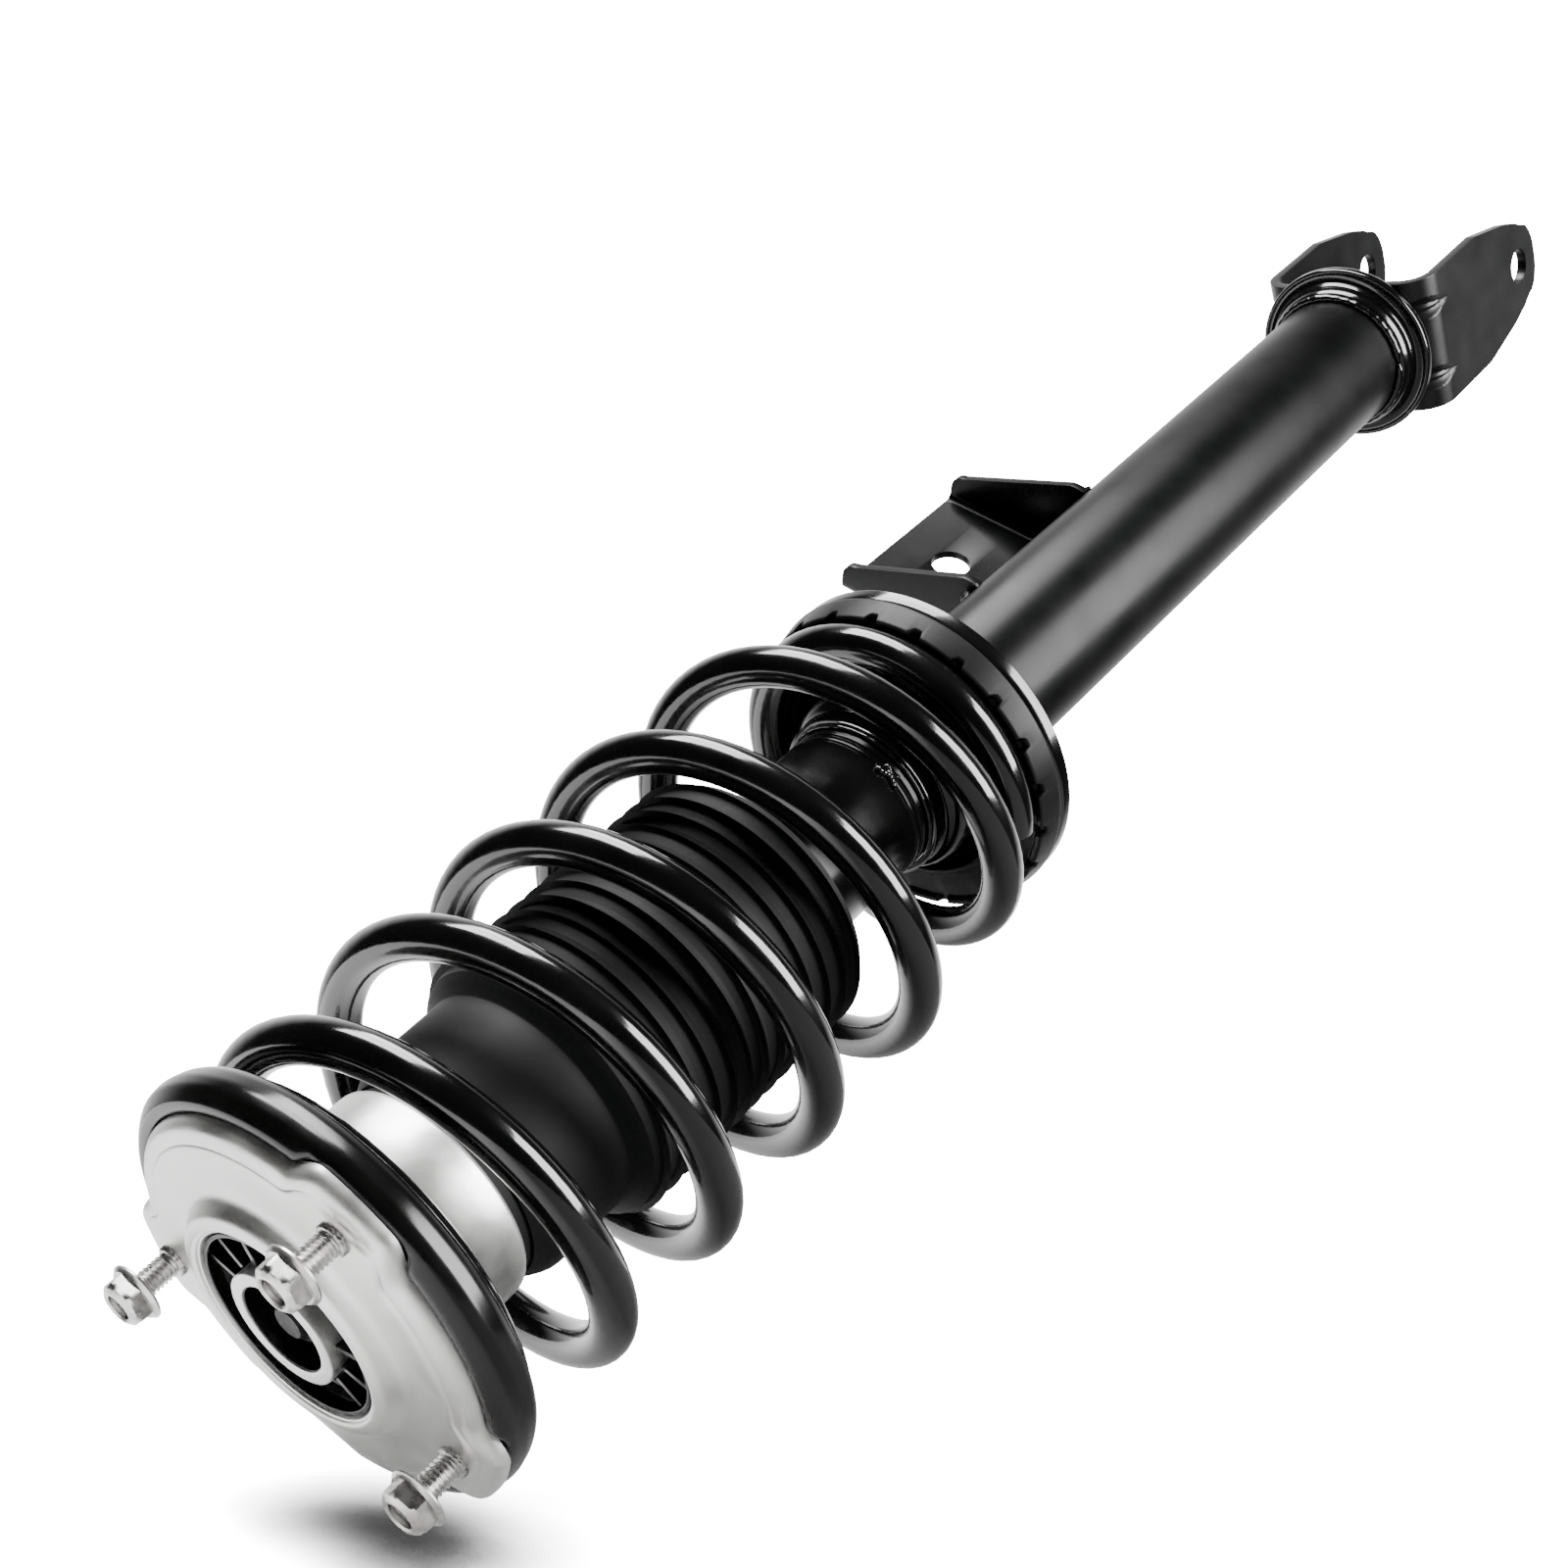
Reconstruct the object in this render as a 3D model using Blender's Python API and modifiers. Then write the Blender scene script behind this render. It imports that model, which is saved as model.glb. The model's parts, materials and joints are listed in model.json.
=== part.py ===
"""Coil-over strut assembly: damper, coil spring, three-stud top mount, fork foot and link bracket.

+Z runs up the strut's axis, and the origin is on that axis, in the top face of the mounting plate.
X is the axis of the bolt through the fork's two ears. Sizes are millimetres times MM.
"""

import math

import bmesh
import bpy
from mathutils import Matrix, Vector

MM = 0.001
GAP = 0.3 * MM  # clearance between pieces that touch
FINE = 40  # sides of a large turned piece
COARSE = 20  # sides of a small or hidden turned piece
CUTTER_REACH = 2.0 * MM  # how far a cutter stands out of what it cuts

# Mounting plate, a pressed sheet with a raised hub and a lobe round each stud
PLATE_SHEET = 2.6 * MM
PLATE_R = 62.5 * MM
LOBE_R = 69.8 * MM
LOBE_HALF_ANGLE = math.radians(12.5)
LOBE_BLEND_ANGLE = math.radians(4.5)
LOBE_ANGLES = [math.radians(a) for a in (180.0, 46.0, -39.5)]
FLAT_SIDE_ANGLE = math.radians(240.0)
FLAT_SIDE_DISTANCE = 58.5 * MM
SKIRT_BOTTOM_Z = -6.5 * MM
PLATE_SECTIONS = 60
HUB_BORE_R = 31.0 * MM
HUB_RIM_R = 36.5 * MM
HUB_FOOT_R = 44.0 * MM
HUB_TOP_Z = 6.0 * MM
HUB_BOTTOM_Z = -12.0 * MM

# Studs (M8) and their flange nuts
STUD_ANGLES = [math.radians(a) for a in (180.0, 45.5, -37.5)]
STUD_CIRCLE_R = 57.0 * MM
STUD_R = 3.9 * MM
STUD_TOP_Z = 19.0 * MM
STUD_POINT = 1.0 * MM
STUD_COLLAR_R = 5.0 * MM
STUD_COLLAR_TOP_Z = 1.2 * MM
STUD_HEAD_R = 6.5 * MM
STUD_HEAD_BOTTOM_Z = -3.9 * MM
NUT_BORE_R = STUD_R + GAP
NUT_FLANGE_R = 9.2 * MM
NUT_FLANGE_TOP_R = 8.3 * MM
NUT_HEX_CORNER_R = 7.5 * MM
NUT_CROWN_R = 6.4 * MM
NUT_CROWN_TOP_R = 5.4 * MM
NUT_BOTTOM_Z = 12.8 * MM
NUT_FLANGE_TOP_Z = 14.4 * MM
NUT_HEX_TOP_Z = 18.6 * MM
NUT_TOP_Z = 20.6 * MM

# Rubber bush in the hub
CAN_R = 30.7 * MM
CAN_WALL = 1.3 * MM
CAN_TOP_Z = 4.4 * MM
CAN_BOTTOM_Z = -11.0 * MM
SLEEVE_R = 18.8 * MM
SLEEVE_BORE_R = 14.5 * MM
SLEEVE_FLOOR_Z = -10.0 * MM
SLEEVE_BOTTOM_Z = -13.0 * MM
SLEEVE_CHAMFER = 0.6 * MM
BUSH_TOP_Z = -2.5 * MM
BUSH_RIM_TOP_Z = 0.5 * MM
BUSH_RIM_SLOPE = 1.6 * MM
BUSH_BOTTOM_Z = -10.5 * MM
BUSH_RIB_ANGLES = [math.radians(a) for a in (95.0, 121.0, 147.0, -5.0, -29.0, -55.0)]
BUSH_RIB_THICKNESS = 2.4 * MM
BUSH_RIB_TOP_Z = 3.2 * MM

# Upper spring isolator, a rubber ring between plate and spring
ISOLATOR_R = 70.2 * MM
ISOLATOR_BORE_R = 40.0 * MM
ISOLATOR_LIP_TOP_Z = -1.8 * MM

# Coil spring
WIRE_R = 6.8 * MM
COIL_R = 62.5 * MM
COIL_TOP_R = 58.0 * MM
COIL_BOTTOM_R = 50.0 * MM
COIL_TOP_Z = -17.2 * MM
COIL_BOTTOM_Z = -271.0 * MM
COIL_MID_Z = -140.6 * MM
COIL_PITCH = 49.2 * MM
COIL_PITCH_CHANGE = -1.2 * MM  # the pitch closes up a little towards the top
COIL_START_ANGLE = math.radians(38.0)
COIL_FIRST_TURN = -3.15
COIL_LAST_TURN = 3.3
COIL_POINTS_PER_TURN = 20

# Jounce cup, bump stop and dust boot
CUP_R = 36.0 * MM
CUP_WALL = 1.5 * MM
CUP_TOP_Z = -12.4 * MM
CUP_BOTTOM_Z = -51.0 * MM
BUMP_TOP_Z = -17.4 * MM
BUMP_BOTTOM_Z = -84.0 * MM
BUMP_BORE_R = 11.2 * MM
BUMP_SHOULDER_R = 30.0 * MM
BUMP_SHOULDER_Z = -36.0 * MM
BUMP_WAIST_R = 24.0 * MM
BUMP_BULGE_R = 27.0 * MM
BUMP_TIP_R = 20.0 * MM
BUMP_WAIST_Z = [z * MM for z in (-44.0, -56.0, -68.0)]
BUMP_BULGE_BELOW_WAIST = 5.0 * MM
BOOT_TOP_Z = -15.0 * MM
BOOT_NECK_R = 33.5 * MM
BOOT_SMOOTH_R = 38.7 * MM
BOOT_FOLD_TOP_Z = -95.0 * MM
BOOT_FOLD_BOTTOM_Z = -194.0 * MM
BOOT_FOLDS = 13
BOOT_CREST_R = 46.6 * MM
BOOT_VALLEY_R = 43.8 * MM
BOOT_BOTTOM_Z = -199.0 * MM
BOOT_COLLAR_R = 27.9 * MM
BOOT_WALL = 1.5 * MM

# Piston rod and what is on it
ROD_R = 10.0 * MM
ROD_SPIGOT_R = 6.0 * MM
ROD_SHOULDER_Z = -16.1 * MM
ROD_TOP_Z = 3.6 * MM
ROD_STEP_Z = -237.0 * MM
ROD_BOTTOM_Z = -276.0 * MM
SPIGOT_BORE_R = ROD_SPIGOT_R + GAP
LOWER_WASHER_R = 18.0 * MM
LOWER_WASHER_BOTTOM_Z = -15.8 * MM
UPPER_WASHER_R = 13.5 * MM
UPPER_WASHER_TOP_Z = -7.2 * MM
ROD_NUT_CORNER_R = 10.9 * MM
ROD_NUT_BOTTOM_Z = -6.9 * MM
ROD_NUT_TOP_Z = 1.6 * MM
PISTON_R = 17.0 * MM
PISTON_TOP_Z = -240.0 * MM
PISTON_BOTTOM_Z = -262.0 * MM
PISTON_BAND_R = 17.6 * MM
PISTON_GROOVE_R = 15.6 * MM
PISTON_GROOVE_TOP_Z = -246.0 * MM
PISTON_GROOVE_BOTTOM_Z = -256.0 * MM
SHIM_R = 12.5 * MM
SHIM_BOTTOM_Z = -264.2 * MM
PISTON_NUT_CORNER_R = 10.4 * MM
PISTON_NUT_TOP_Z = -264.6 * MM
PISTON_NUT_BOTTOM_Z = -274.0 * MM
REBOUND_STOP_R = 15.5 * MM
REBOUND_STOP_TOP_Z = -206.0 * MM
REBOUND_STOP_BOTTOM_Z = -226.0 * MM

# Damper tubes
TUBE_R = 27.5 * MM
TUBE_WALL = 2.5 * MM
TUBE_TOP_Z = -181.0 * MM
TUBE_BOTTOM_Z = -606.0 * MM
TUBE_GROOVE_Z = [z * MM for z in (-247.5, -250.5, -253.5)]
INNER_TUBE_R = 19.5 * MM
INNER_TUBE_WALL = 1.5 * MM
INNER_TUBE_TOP_Z = -200.4 * MM
INNER_TUBE_BOTTOM_Z = -590.0 * MM
SEAL_TOP_Z = -181.0 * MM
GUIDE_TOP_Z = -184.0 * MM
GUIDE_BOTTOM_Z = -205.4 * MM
FOOT_VALVE_TOP_Z = -585.0 * MM
FOOT_VALVE_BOTTOM_Z = -599.0 * MM
FOOT_VALVE_TIP_R = 15.0 * MM
FOOT_VALVE_CONE = 5.0 * MM
BASE_CAP_BOTTOM_Z = -611.6 * MM
BASE_CAP_TIP_R = 20.0 * MM
CAP_TOP_Z = -178.0 * MM
CAP_BOTTOM_Z = -191.0 * MM
CAP_WALL = 1.2 * MM

# Lower spring seat, a pressed pan welded round the tube
SEAT_SHEET = 2.4 * MM
SEAT_R = 58.6 * MM
SEAT_TOP_Z = -255.0 * MM
SEAT_TROUGH_Z = -285.6 * MM
SEAT_RIM_Z = -292.0 * MM
PAD_R = 58.8 * MM
PAD_BORE_R = 41.2 * MM

# Link bracket, a welded channel whose web stands off the tube's side
BRACKET_ANGLE = math.radians(155.5)
BRACKET_SHEET = 3.0 * MM
BRACKET_REACH = 81.0 * MM
BRACKET_WEB_OFFSET = 16.0 * MM
BRACKET_TOP_Z = -357.6 * MM
BRACKET_BOTTOM_Z = -434.0 * MM
BRACKET_HOLE_R = 7.5 * MM
BRACKET_HOLE_REACH = 57.0 * MM
BRACKET_HOLE_Z = -396.5 * MM

# Fork foot, a bent plate with two ears under the tube
FORK_SHEET = 4.0 * MM
FORK_OUTER_X = 38.0 * MM
FORK_HALF_WIDTH = 28.5 * MM
FORK_TOP_Z = -614.0 * MM
FORK_BEND_R = 13.0 * MM
FORK_TAPER_Z = -664.0 * MM
FORK_BOTTOM_Z = -717.5 * MM
FORK_HOLE_Z = -701.0 * MM
FORK_HOLE_R = 7.5 * MM
FORK_BASE_HOLE_R = 17.0 * MM
DART_Y = 15.5 * MM
DART_SIZE = (2.6 * MM, 3.4 * MM, 12.0 * MM)  # half depth, half width, half length

# Collar between the tube's foot and the fork
COLLAR_TOP_Z = -601.5 * MM
COLLAR_R = 37.0 * MM
COLLAR_LIP = 2.2 * MM
COLLAR_BORE_R = 25.6 * MM


def clear_scene():
    for obj in list(bpy.data.objects):
        bpy.data.objects.remove(obj, do_unlink=True)


def new_collection(name):
    collection = bpy.data.collections.new(name)
    bpy.context.scene.collection.children.link(collection)
    return collection


def material(name, colour, roughness, metallic):
    made = bpy.data.materials.new(name)
    made.use_nodes = True
    shader = made.node_tree.nodes["Principled BSDF"]
    shader.inputs["Base Color"].default_value = (*colour, 1.0)
    shader.inputs["Roughness"].default_value = roughness
    shader.inputs["Metallic"].default_value = metallic
    return made


def smooth_step(t):
    t = min(max(t, 0.0), 1.0)
    return t * t * (3.0 - 2.0 * t)


def smooth_min(a, b, blend):
    """The lower of a and b, rounded where they cross."""
    low, high = min(a, b), max(a, b)
    return low - blend * math.log(1.0 + math.exp((low - high) / blend))


def add_mesh(name, mesh, mat, collection):
    obj = bpy.data.objects.new(name, mesh)
    collection.objects.link(obj)
    mesh.materials.clear()
    mesh.materials.append(mat)
    mesh.shade_smooth()
    mesh.set_sharp_from_angle(angle=math.radians(35.0))
    return obj


def add_cutter(mesh, name="cutter"):
    obj = bpy.data.objects.new(name, mesh)
    CUTTERS.objects.link(obj)
    obj.hide_render = True
    obj.display_type = "WIRE"
    return obj


def boolean(obj, other, operation="DIFFERENCE", solver="EXACT"):
    modifier = obj.modifiers.new(operation.title(), "BOOLEAN")
    modifier.operation = operation
    modifier.object = other
    modifier.solver = solver


def cylinder_mesh(r_bottom, r_top, z_bottom, z_top, sides=COARSE):
    """An upright cylinder or frustum as a closed mesh."""
    shape = bmesh.new()
    middle = Matrix.Translation((0.0, 0.0, (z_bottom + z_top) / 2.0))
    bmesh.ops.create_cone(
        shape,
        cap_ends=True,
        segments=sides,
        radius1=r_bottom,
        radius2=r_top,
        depth=z_top - z_bottom,
        matrix=middle,
    )
    mesh = bpy.data.meshes.new("cylinder")
    shape.to_mesh(mesh)
    shape.free()
    return mesh


def clockwise(points):
    """The outline ordered so that its outer side runs downwards."""
    area = sum(a[0] * b[1] - b[0] * a[1] for a, b in zip(points, points[1:] + points[:1]))
    return list(reversed(points)) if area > 0.0 else list(points)


def sheet_outline(line, thickness):
    """The closed outline of a sheet of this thickness whose middle follows the line of (r, z) points."""
    sides = ([], [])
    for i, (r, z) in enumerate(line):
        before = Vector(line[max(i - 1, 0)])
        here = Vector((r, z))
        after = Vector(line[min(i + 1, len(line) - 1)])
        way_in = (here - before).normalized() if i else (after - here).normalized()
        way_out = (after - here).normalized() if i < len(line) - 1 else way_in
        along = (way_in + way_out).normalized()
        across = Vector((-along.y, along.x))
        half = thickness / 2.0 / max(along.dot(way_in), 0.5)
        sides[0].append(tuple(here + across * half))
        sides[1].append(tuple(here - across * half))
    return sides[0] + sides[1][::-1]


def turned(name, outline, mat, collection, steps=FINE):
    """A piece turned about Z from an outline of (r, z) points, closed or starting and ending on the axis."""
    points = clockwise(outline)
    solid_core = any(r == 0.0 for r, _ in points)
    if solid_core:
        while points[0][0] != 0.0 or points[-1][0] != 0.0:
            points = points[1:] + points[:1]
    mesh = bpy.data.meshes.new(name)
    count = len(points)
    edges = [(i, i + 1) for i in range(count - 1)]
    if not solid_core:
        edges.append((count - 1, 0))
    mesh.from_pydata([(r, 0.0, z) for r, z in points], edges, [])
    obj = add_mesh(name, mesh, mat, collection)
    screw = obj.modifiers.new("Screw", "SCREW")
    screw.axis = "Z"
    screw.steps = steps
    screw.render_steps = steps
    screw.use_merge_vertices = True
    screw.merge_threshold = 1e-5
    screw.use_smooth_shade = True
    return obj


def ring_of_sections(name, section_at, count, mat, collection):
    """A closed ring whose outline of (r, z) points may change with the angle about Z."""
    shape = bmesh.new()
    rows = []
    for i in range(count):
        angle = 2.0 * math.pi * i / count
        row = []
        for r, z in clockwise(section_at(angle)):
            row.append(shape.verts.new((r * math.cos(angle), r * math.sin(angle), z)))
        rows.append(row)
    for row, following in zip(rows, rows[1:] + rows[:1]):
        for i in range(len(row)):
            j = (i + 1) % len(row)
            shape.faces.new((row[i], row[j], following[j], following[i]))
    bmesh.ops.triangulate(shape, faces=shape.faces)
    bmesh.ops.recalc_face_normals(shape, faces=shape.faces)
    mesh = bpy.data.meshes.new(name)
    shape.to_mesh(mesh)
    shape.free()
    return add_mesh(name, mesh, mat, collection)


def flat_outline(name, outlines, thickness):
    """A closed mesh of this thickness, centred on the XY plane, from outlines where an inner one is a hole."""
    curve = bpy.data.curves.new(name, "CURVE")
    curve.dimensions = "2D"
    curve.fill_mode = "BOTH"
    curve.extrude = thickness / 2.0
    for outline in outlines:
        spline = curve.splines.new("POLY")
        spline.points.add(len(outline) - 1)
        for point, (x, y) in zip(spline.points, outline):
            point.co = (x, y, 0.0, 1.0)
        spline.use_cyclic_u = True
    return mesh_from_curve(name, curve)


def mesh_from_curve(name, curve):
    obj = bpy.data.objects.new(name, curve)
    bpy.context.scene.collection.objects.link(obj)
    bpy.context.view_layer.update()
    graph = bpy.context.evaluated_depsgraph_get()
    mesh = bpy.data.meshes.new_from_object(obj.evaluated_get(graph))
    bpy.data.objects.remove(obj, do_unlink=True)
    shape = bmesh.new()
    shape.from_mesh(mesh)
    bmesh.ops.remove_doubles(shape, verts=shape.verts, dist=1e-6)
    bmesh.ops.recalc_face_normals(shape, faces=shape.faces)
    shape.to_mesh(mesh)
    shape.free()
    return mesh


def circle_points(radius, sides, centre=(0.0, 0.0)):
    step = 2.0 * math.pi / sides
    return [
        (centre[0] + radius * math.cos(i * step), centre[1] + radius * math.sin(i * step))
        for i in range(sides)
    ]


def plate_edge(angle):
    """Radius of the mounting plate's outline: a circle with a lobe at each stud and one flattened side."""
    radius = PLATE_R
    from_flat = math.remainder(angle - FLAT_SIDE_ANGLE, 2.0 * math.pi)
    if abs(from_flat) < math.pi / 3.0:
        radius = min(radius, FLAT_SIDE_DISTANCE / math.cos(from_flat))
    for lobe in LOBE_ANGLES:
        off = abs(math.remainder(angle - lobe, 2.0 * math.pi))
        rise = 1.0 - smooth_step((off - LOBE_HALF_ANGLE) / LOBE_BLEND_ANGLE)
        radius += (LOBE_R - PLATE_R) * rise
    return radius


def plate_section(angle):
    half = PLATE_SHEET / 2.0
    edge = plate_edge(angle) - half
    line = [
        (HUB_BORE_R + half, HUB_BOTTOM_Z),
        (HUB_BORE_R + half, HUB_TOP_Z - 3.0 * MM),
        (HUB_BORE_R + 2.4 * MM, HUB_TOP_Z - half),
        (HUB_RIM_R - 1.0 * MM, HUB_TOP_Z - half),
        (HUB_RIM_R + 2.0 * MM, HUB_TOP_Z - 3.5 * MM),
        (HUB_FOOT_R, -half),
        (edge - 3.0 * MM, -half),
        (edge - 0.8 * MM, -1.0 * MM - half),
        (edge, -3.4 * MM),
        (edge, SKIRT_BOTTOM_Z),
    ]
    return sheet_outline(line, PLATE_SHEET)


def make_mounting_plate():
    plate = ring_of_sections("upper_mount_plate", plate_section, PLATE_SECTIONS, SATIN_STEEL, PARTS)
    for angle in STUD_ANGLES:
        hole = add_cutter(cylinder_mesh(NUT_BORE_R, NUT_BORE_R, -9.0 * MM, 5.0 * MM, 16))
        hole.location = stud_place(angle)
        boolean(plate, hole, solver="MANIFOLD")


def stud_place(angle):
    return (STUD_CIRCLE_R * math.cos(angle), STUD_CIRCLE_R * math.sin(angle), 0.0)


def make_studs_and_nuts():
    under = -PLATE_SHEET - GAP
    stud_outline = [
        (0.0, STUD_TOP_Z),
        (STUD_R - STUD_POINT, STUD_TOP_Z),
        (STUD_R, STUD_TOP_Z - STUD_POINT),
        (STUD_R, STUD_COLLAR_TOP_Z + GAP),
        (STUD_COLLAR_R, STUD_COLLAR_TOP_Z),
        (STUD_COLLAR_R, GAP),
        (STUD_R, GAP),
        (STUD_R, under),
        (STUD_HEAD_R, under),
        (STUD_HEAD_R, STUD_HEAD_BOTTOM_Z),
        (0.0, STUD_HEAD_BOTTOM_Z),
    ]
    for number, angle in enumerate(STUD_ANGLES, 1):
        stud = turned(f"stud_{number}", stud_outline, ZINC, PARTS, 16)
        stud.location = stud_place(angle)
        make_flange_nut(f"nut_{number}", stud_place(angle))


def make_flange_nut(name, place):
    """A hexagon on a round flange, with a domed crown round the bore's end."""
    hex_start = NUT_BOTTOM_Z + 0.5 * MM  # the hexagon and the crown start inside the flange
    crown_start = NUT_BOTTOM_Z + 1.0 * MM
    flange = cylinder_mesh(NUT_FLANGE_R, NUT_FLANGE_TOP_R, NUT_BOTTOM_Z, NUT_FLANGE_TOP_Z)
    nut = add_mesh(name, flange, ZINC, PARTS)
    hexagon = cylinder_mesh(NUT_HEX_CORNER_R, NUT_HEX_CORNER_R, hex_start, NUT_HEX_TOP_Z, 6)
    crown = cylinder_mesh(NUT_CROWN_R, NUT_CROWN_TOP_R, crown_start, NUT_TOP_Z, 18)
    bore = cylinder_mesh(
        NUT_BORE_R, NUT_BORE_R, NUT_BOTTOM_Z - CUTTER_REACH, NUT_TOP_Z + CUTTER_REACH, 16
    )
    for mesh, operation in ((hexagon, "UNION"), (crown, "UNION"), (bore, "DIFFERENCE")):
        tool = add_cutter(mesh)
        tool.location = place
        boolean(nut, tool, operation)
    nut.location = place


def make_bush():
    can_middle_r = CAN_R - CAN_WALL / 2.0
    can_line = [(can_middle_r, CAN_TOP_Z), (can_middle_r, CAN_BOTTOM_Z)]
    turned("bush_can", sheet_outline(can_line, CAN_WALL), SATIN_STEEL, PARTS)
    outer = CAN_R - CAN_WALL - GAP
    inner = SLEEVE_R + GAP
    rubber_outline = [
        (outer, BUSH_RIM_TOP_Z),
        (outer, BUSH_BOTTOM_Z),
        (inner, BUSH_BOTTOM_Z),
        (inner, BUSH_RIM_TOP_Z),
        (inner + BUSH_RIM_SLOPE, BUSH_TOP_Z),
        (outer - BUSH_RIM_SLOPE, BUSH_TOP_Z),
    ]
    rubber = turned("mount_bush", rubber_outline, RUBBER, PARTS)
    for angle in BUSH_RIB_ANGLES:
        boolean(rubber, bush_rib(angle, inner, outer), "UNION")
    sleeve_outline = [
        (SLEEVE_R, HUB_TOP_Z - SLEEVE_CHAMFER),
        (SLEEVE_R, SLEEVE_BOTTOM_Z),
        (SPIGOT_BORE_R, SLEEVE_BOTTOM_Z),
        (SPIGOT_BORE_R, SLEEVE_FLOOR_Z),
        (SLEEVE_BORE_R, SLEEVE_FLOOR_Z),
        (SLEEVE_BORE_R, HUB_TOP_Z - SLEEVE_CHAMFER),
        (SLEEVE_BORE_R + SLEEVE_CHAMFER, HUB_TOP_Z),
        (SLEEVE_R - SLEEVE_CHAMFER, HUB_TOP_Z),
    ]
    turned("bush_sleeve", sleeve_outline, SATIN_STEEL, PARTS)


def bush_rib(angle, inner, outer):
    """A radial rubber rib across the bush's recess."""
    shape = bmesh.new()
    bmesh.ops.create_cube(shape, size=1.0)
    low = BUSH_TOP_Z - 1.0 * MM
    length = outer - inner - 0.8 * MM
    size = (length, BUSH_RIB_THICKNESS, BUSH_RIB_TOP_Z - low)
    bmesh.ops.scale(shape, verts=shape.verts, vec=size)
    middle = Vector(((inner + outer) / 2.0, 0.0, (BUSH_RIB_TOP_Z + low) / 2.0))
    bmesh.ops.translate(shape, verts=shape.verts, vec=middle)
    bmesh.ops.rotate(shape, verts=shape.verts, matrix=Matrix.Rotation(angle, 3, "Z"))
    mesh = bpy.data.meshes.new("rib")
    shape.to_mesh(mesh)
    shape.free()
    return add_cutter(mesh, "rib")


def make_upper_isolator():
    """A rubber ring that fills the plate from below and holds the spring's top coil in a channel."""
    wall_r = COIL_TOP_R + WIRE_R + GAP
    channel_z = COIL_TOP_Z + WIRE_R + GAP
    outline = [
        (ISOLATOR_BORE_R, -PLATE_SHEET - GAP),
        (59.0 * MM, -PLATE_SHEET - GAP),
        (62.8 * MM, ISOLATOR_LIP_TOP_Z),
        (65.6 * MM, ISOLATOR_LIP_TOP_Z),
        (67.5 * MM, -5.2 * MM),
        (69.6 * MM, -9.0 * MM),
        (ISOLATOR_R, -13.0 * MM),
        (68.8 * MM, -17.6 * MM),
        (wall_r + 0.6 * MM, -19.4 * MM),
        (wall_r, -15.0 * MM),
        (wall_r, channel_z),
        (COIL_TOP_R - WIRE_R - GAP, channel_z),
        (COIL_TOP_R - WIRE_R - GAP, -17.0 * MM),
        (47.0 * MM, -18.5 * MM),
        (ISOLATOR_BORE_R, -10.0 * MM),
    ]
    ring = turned("upper_spring_isolator", outline, RUBBER, PARTS)
    edge = []
    for i in range(PLATE_SECTIONS):
        angle = 2.0 * math.pi * i / PLATE_SECTIONS
        radius = plate_edge(angle) + GAP
        edge.append((radius * math.cos(angle), radius * math.sin(angle)))
    inside = circle_points(FLAT_SIDE_DISTANCE - 2.0 * PLATE_SHEET, FINE)
    height = 12.0 * MM
    recess = add_cutter(flat_outline("recess", [edge, inside], height), "plate_recess")
    recess.location = (0.0, 0.0, SKIRT_BOTTOM_Z - GAP + height / 2.0)
    boolean(ring, recess)
    pocket_r = STUD_HEAD_R + 2.0 * GAP
    for angle in STUD_ANGLES:
        pocket = add_cutter(
            cylinder_mesh(pocket_r, pocket_r, STUD_HEAD_BOTTOM_Z - GAP, 5.0 * MM, 24)
        )
        pocket.location = stud_place(angle)
        boolean(ring, pocket)


def coil_radius(turn):
    top = smooth_step((turn - 1.8) / 0.9)
    bottom = smooth_step((-turn - 1.7) / 1.1)
    return COIL_R + (COIL_TOP_R - COIL_R) * top + (COIL_BOTTOM_R - COIL_R) * bottom


def coil_height(turn):
    """Height of the wire's centre: an open helix that flattens into a closed coil at each end."""
    height = COIL_MID_Z + COIL_PITCH * turn + COIL_PITCH_CHANGE * turn * turn
    height = smooth_min(height, COIL_TOP_Z, 2.0 * MM)
    return -smooth_min(-height, -COIL_BOTTOM_Z, 2.0 * MM)


def make_spring():
    count = round((COIL_LAST_TURN - COIL_FIRST_TURN) * COIL_POINTS_PER_TURN) + 1
    curve = bpy.data.curves.new("coil_spring", "CURVE")
    curve.dimensions = "3D"
    curve.bevel_depth = WIRE_R
    curve.bevel_resolution = 2
    curve.use_fill_caps = True
    spline = curve.splines.new("POLY")
    spline.points.add(count - 1)
    for i, point in enumerate(spline.points):
        turn = COIL_FIRST_TURN + i / COIL_POINTS_PER_TURN
        angle = COIL_START_ANGLE + 2.0 * math.pi * turn
        r = coil_radius(turn)
        point.co = (r * math.cos(angle), r * math.sin(angle), coil_height(turn), 1.0)
    spring = bpy.data.objects.new("coil_spring", curve)
    curve.materials.append(GLOSS_BLACK)
    PARTS.objects.link(spring)


def make_cup():
    half = CUP_WALL / 2.0
    line = [
        (22.0 * MM, CUP_TOP_Z - half),
        (CUP_R - 2.5 * MM, CUP_TOP_Z - half),
        (CUP_R - half, CUP_TOP_Z - 2.5 * MM),
        (CUP_R - half, CUP_BOTTOM_Z + 1.6 * MM),
        (CUP_R - half - 0.5 * MM, CUP_BOTTOM_Z),
    ]
    turned("jounce_cup", sheet_outline(line, CUP_WALL), SATIN_STEEL, PARTS)


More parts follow.
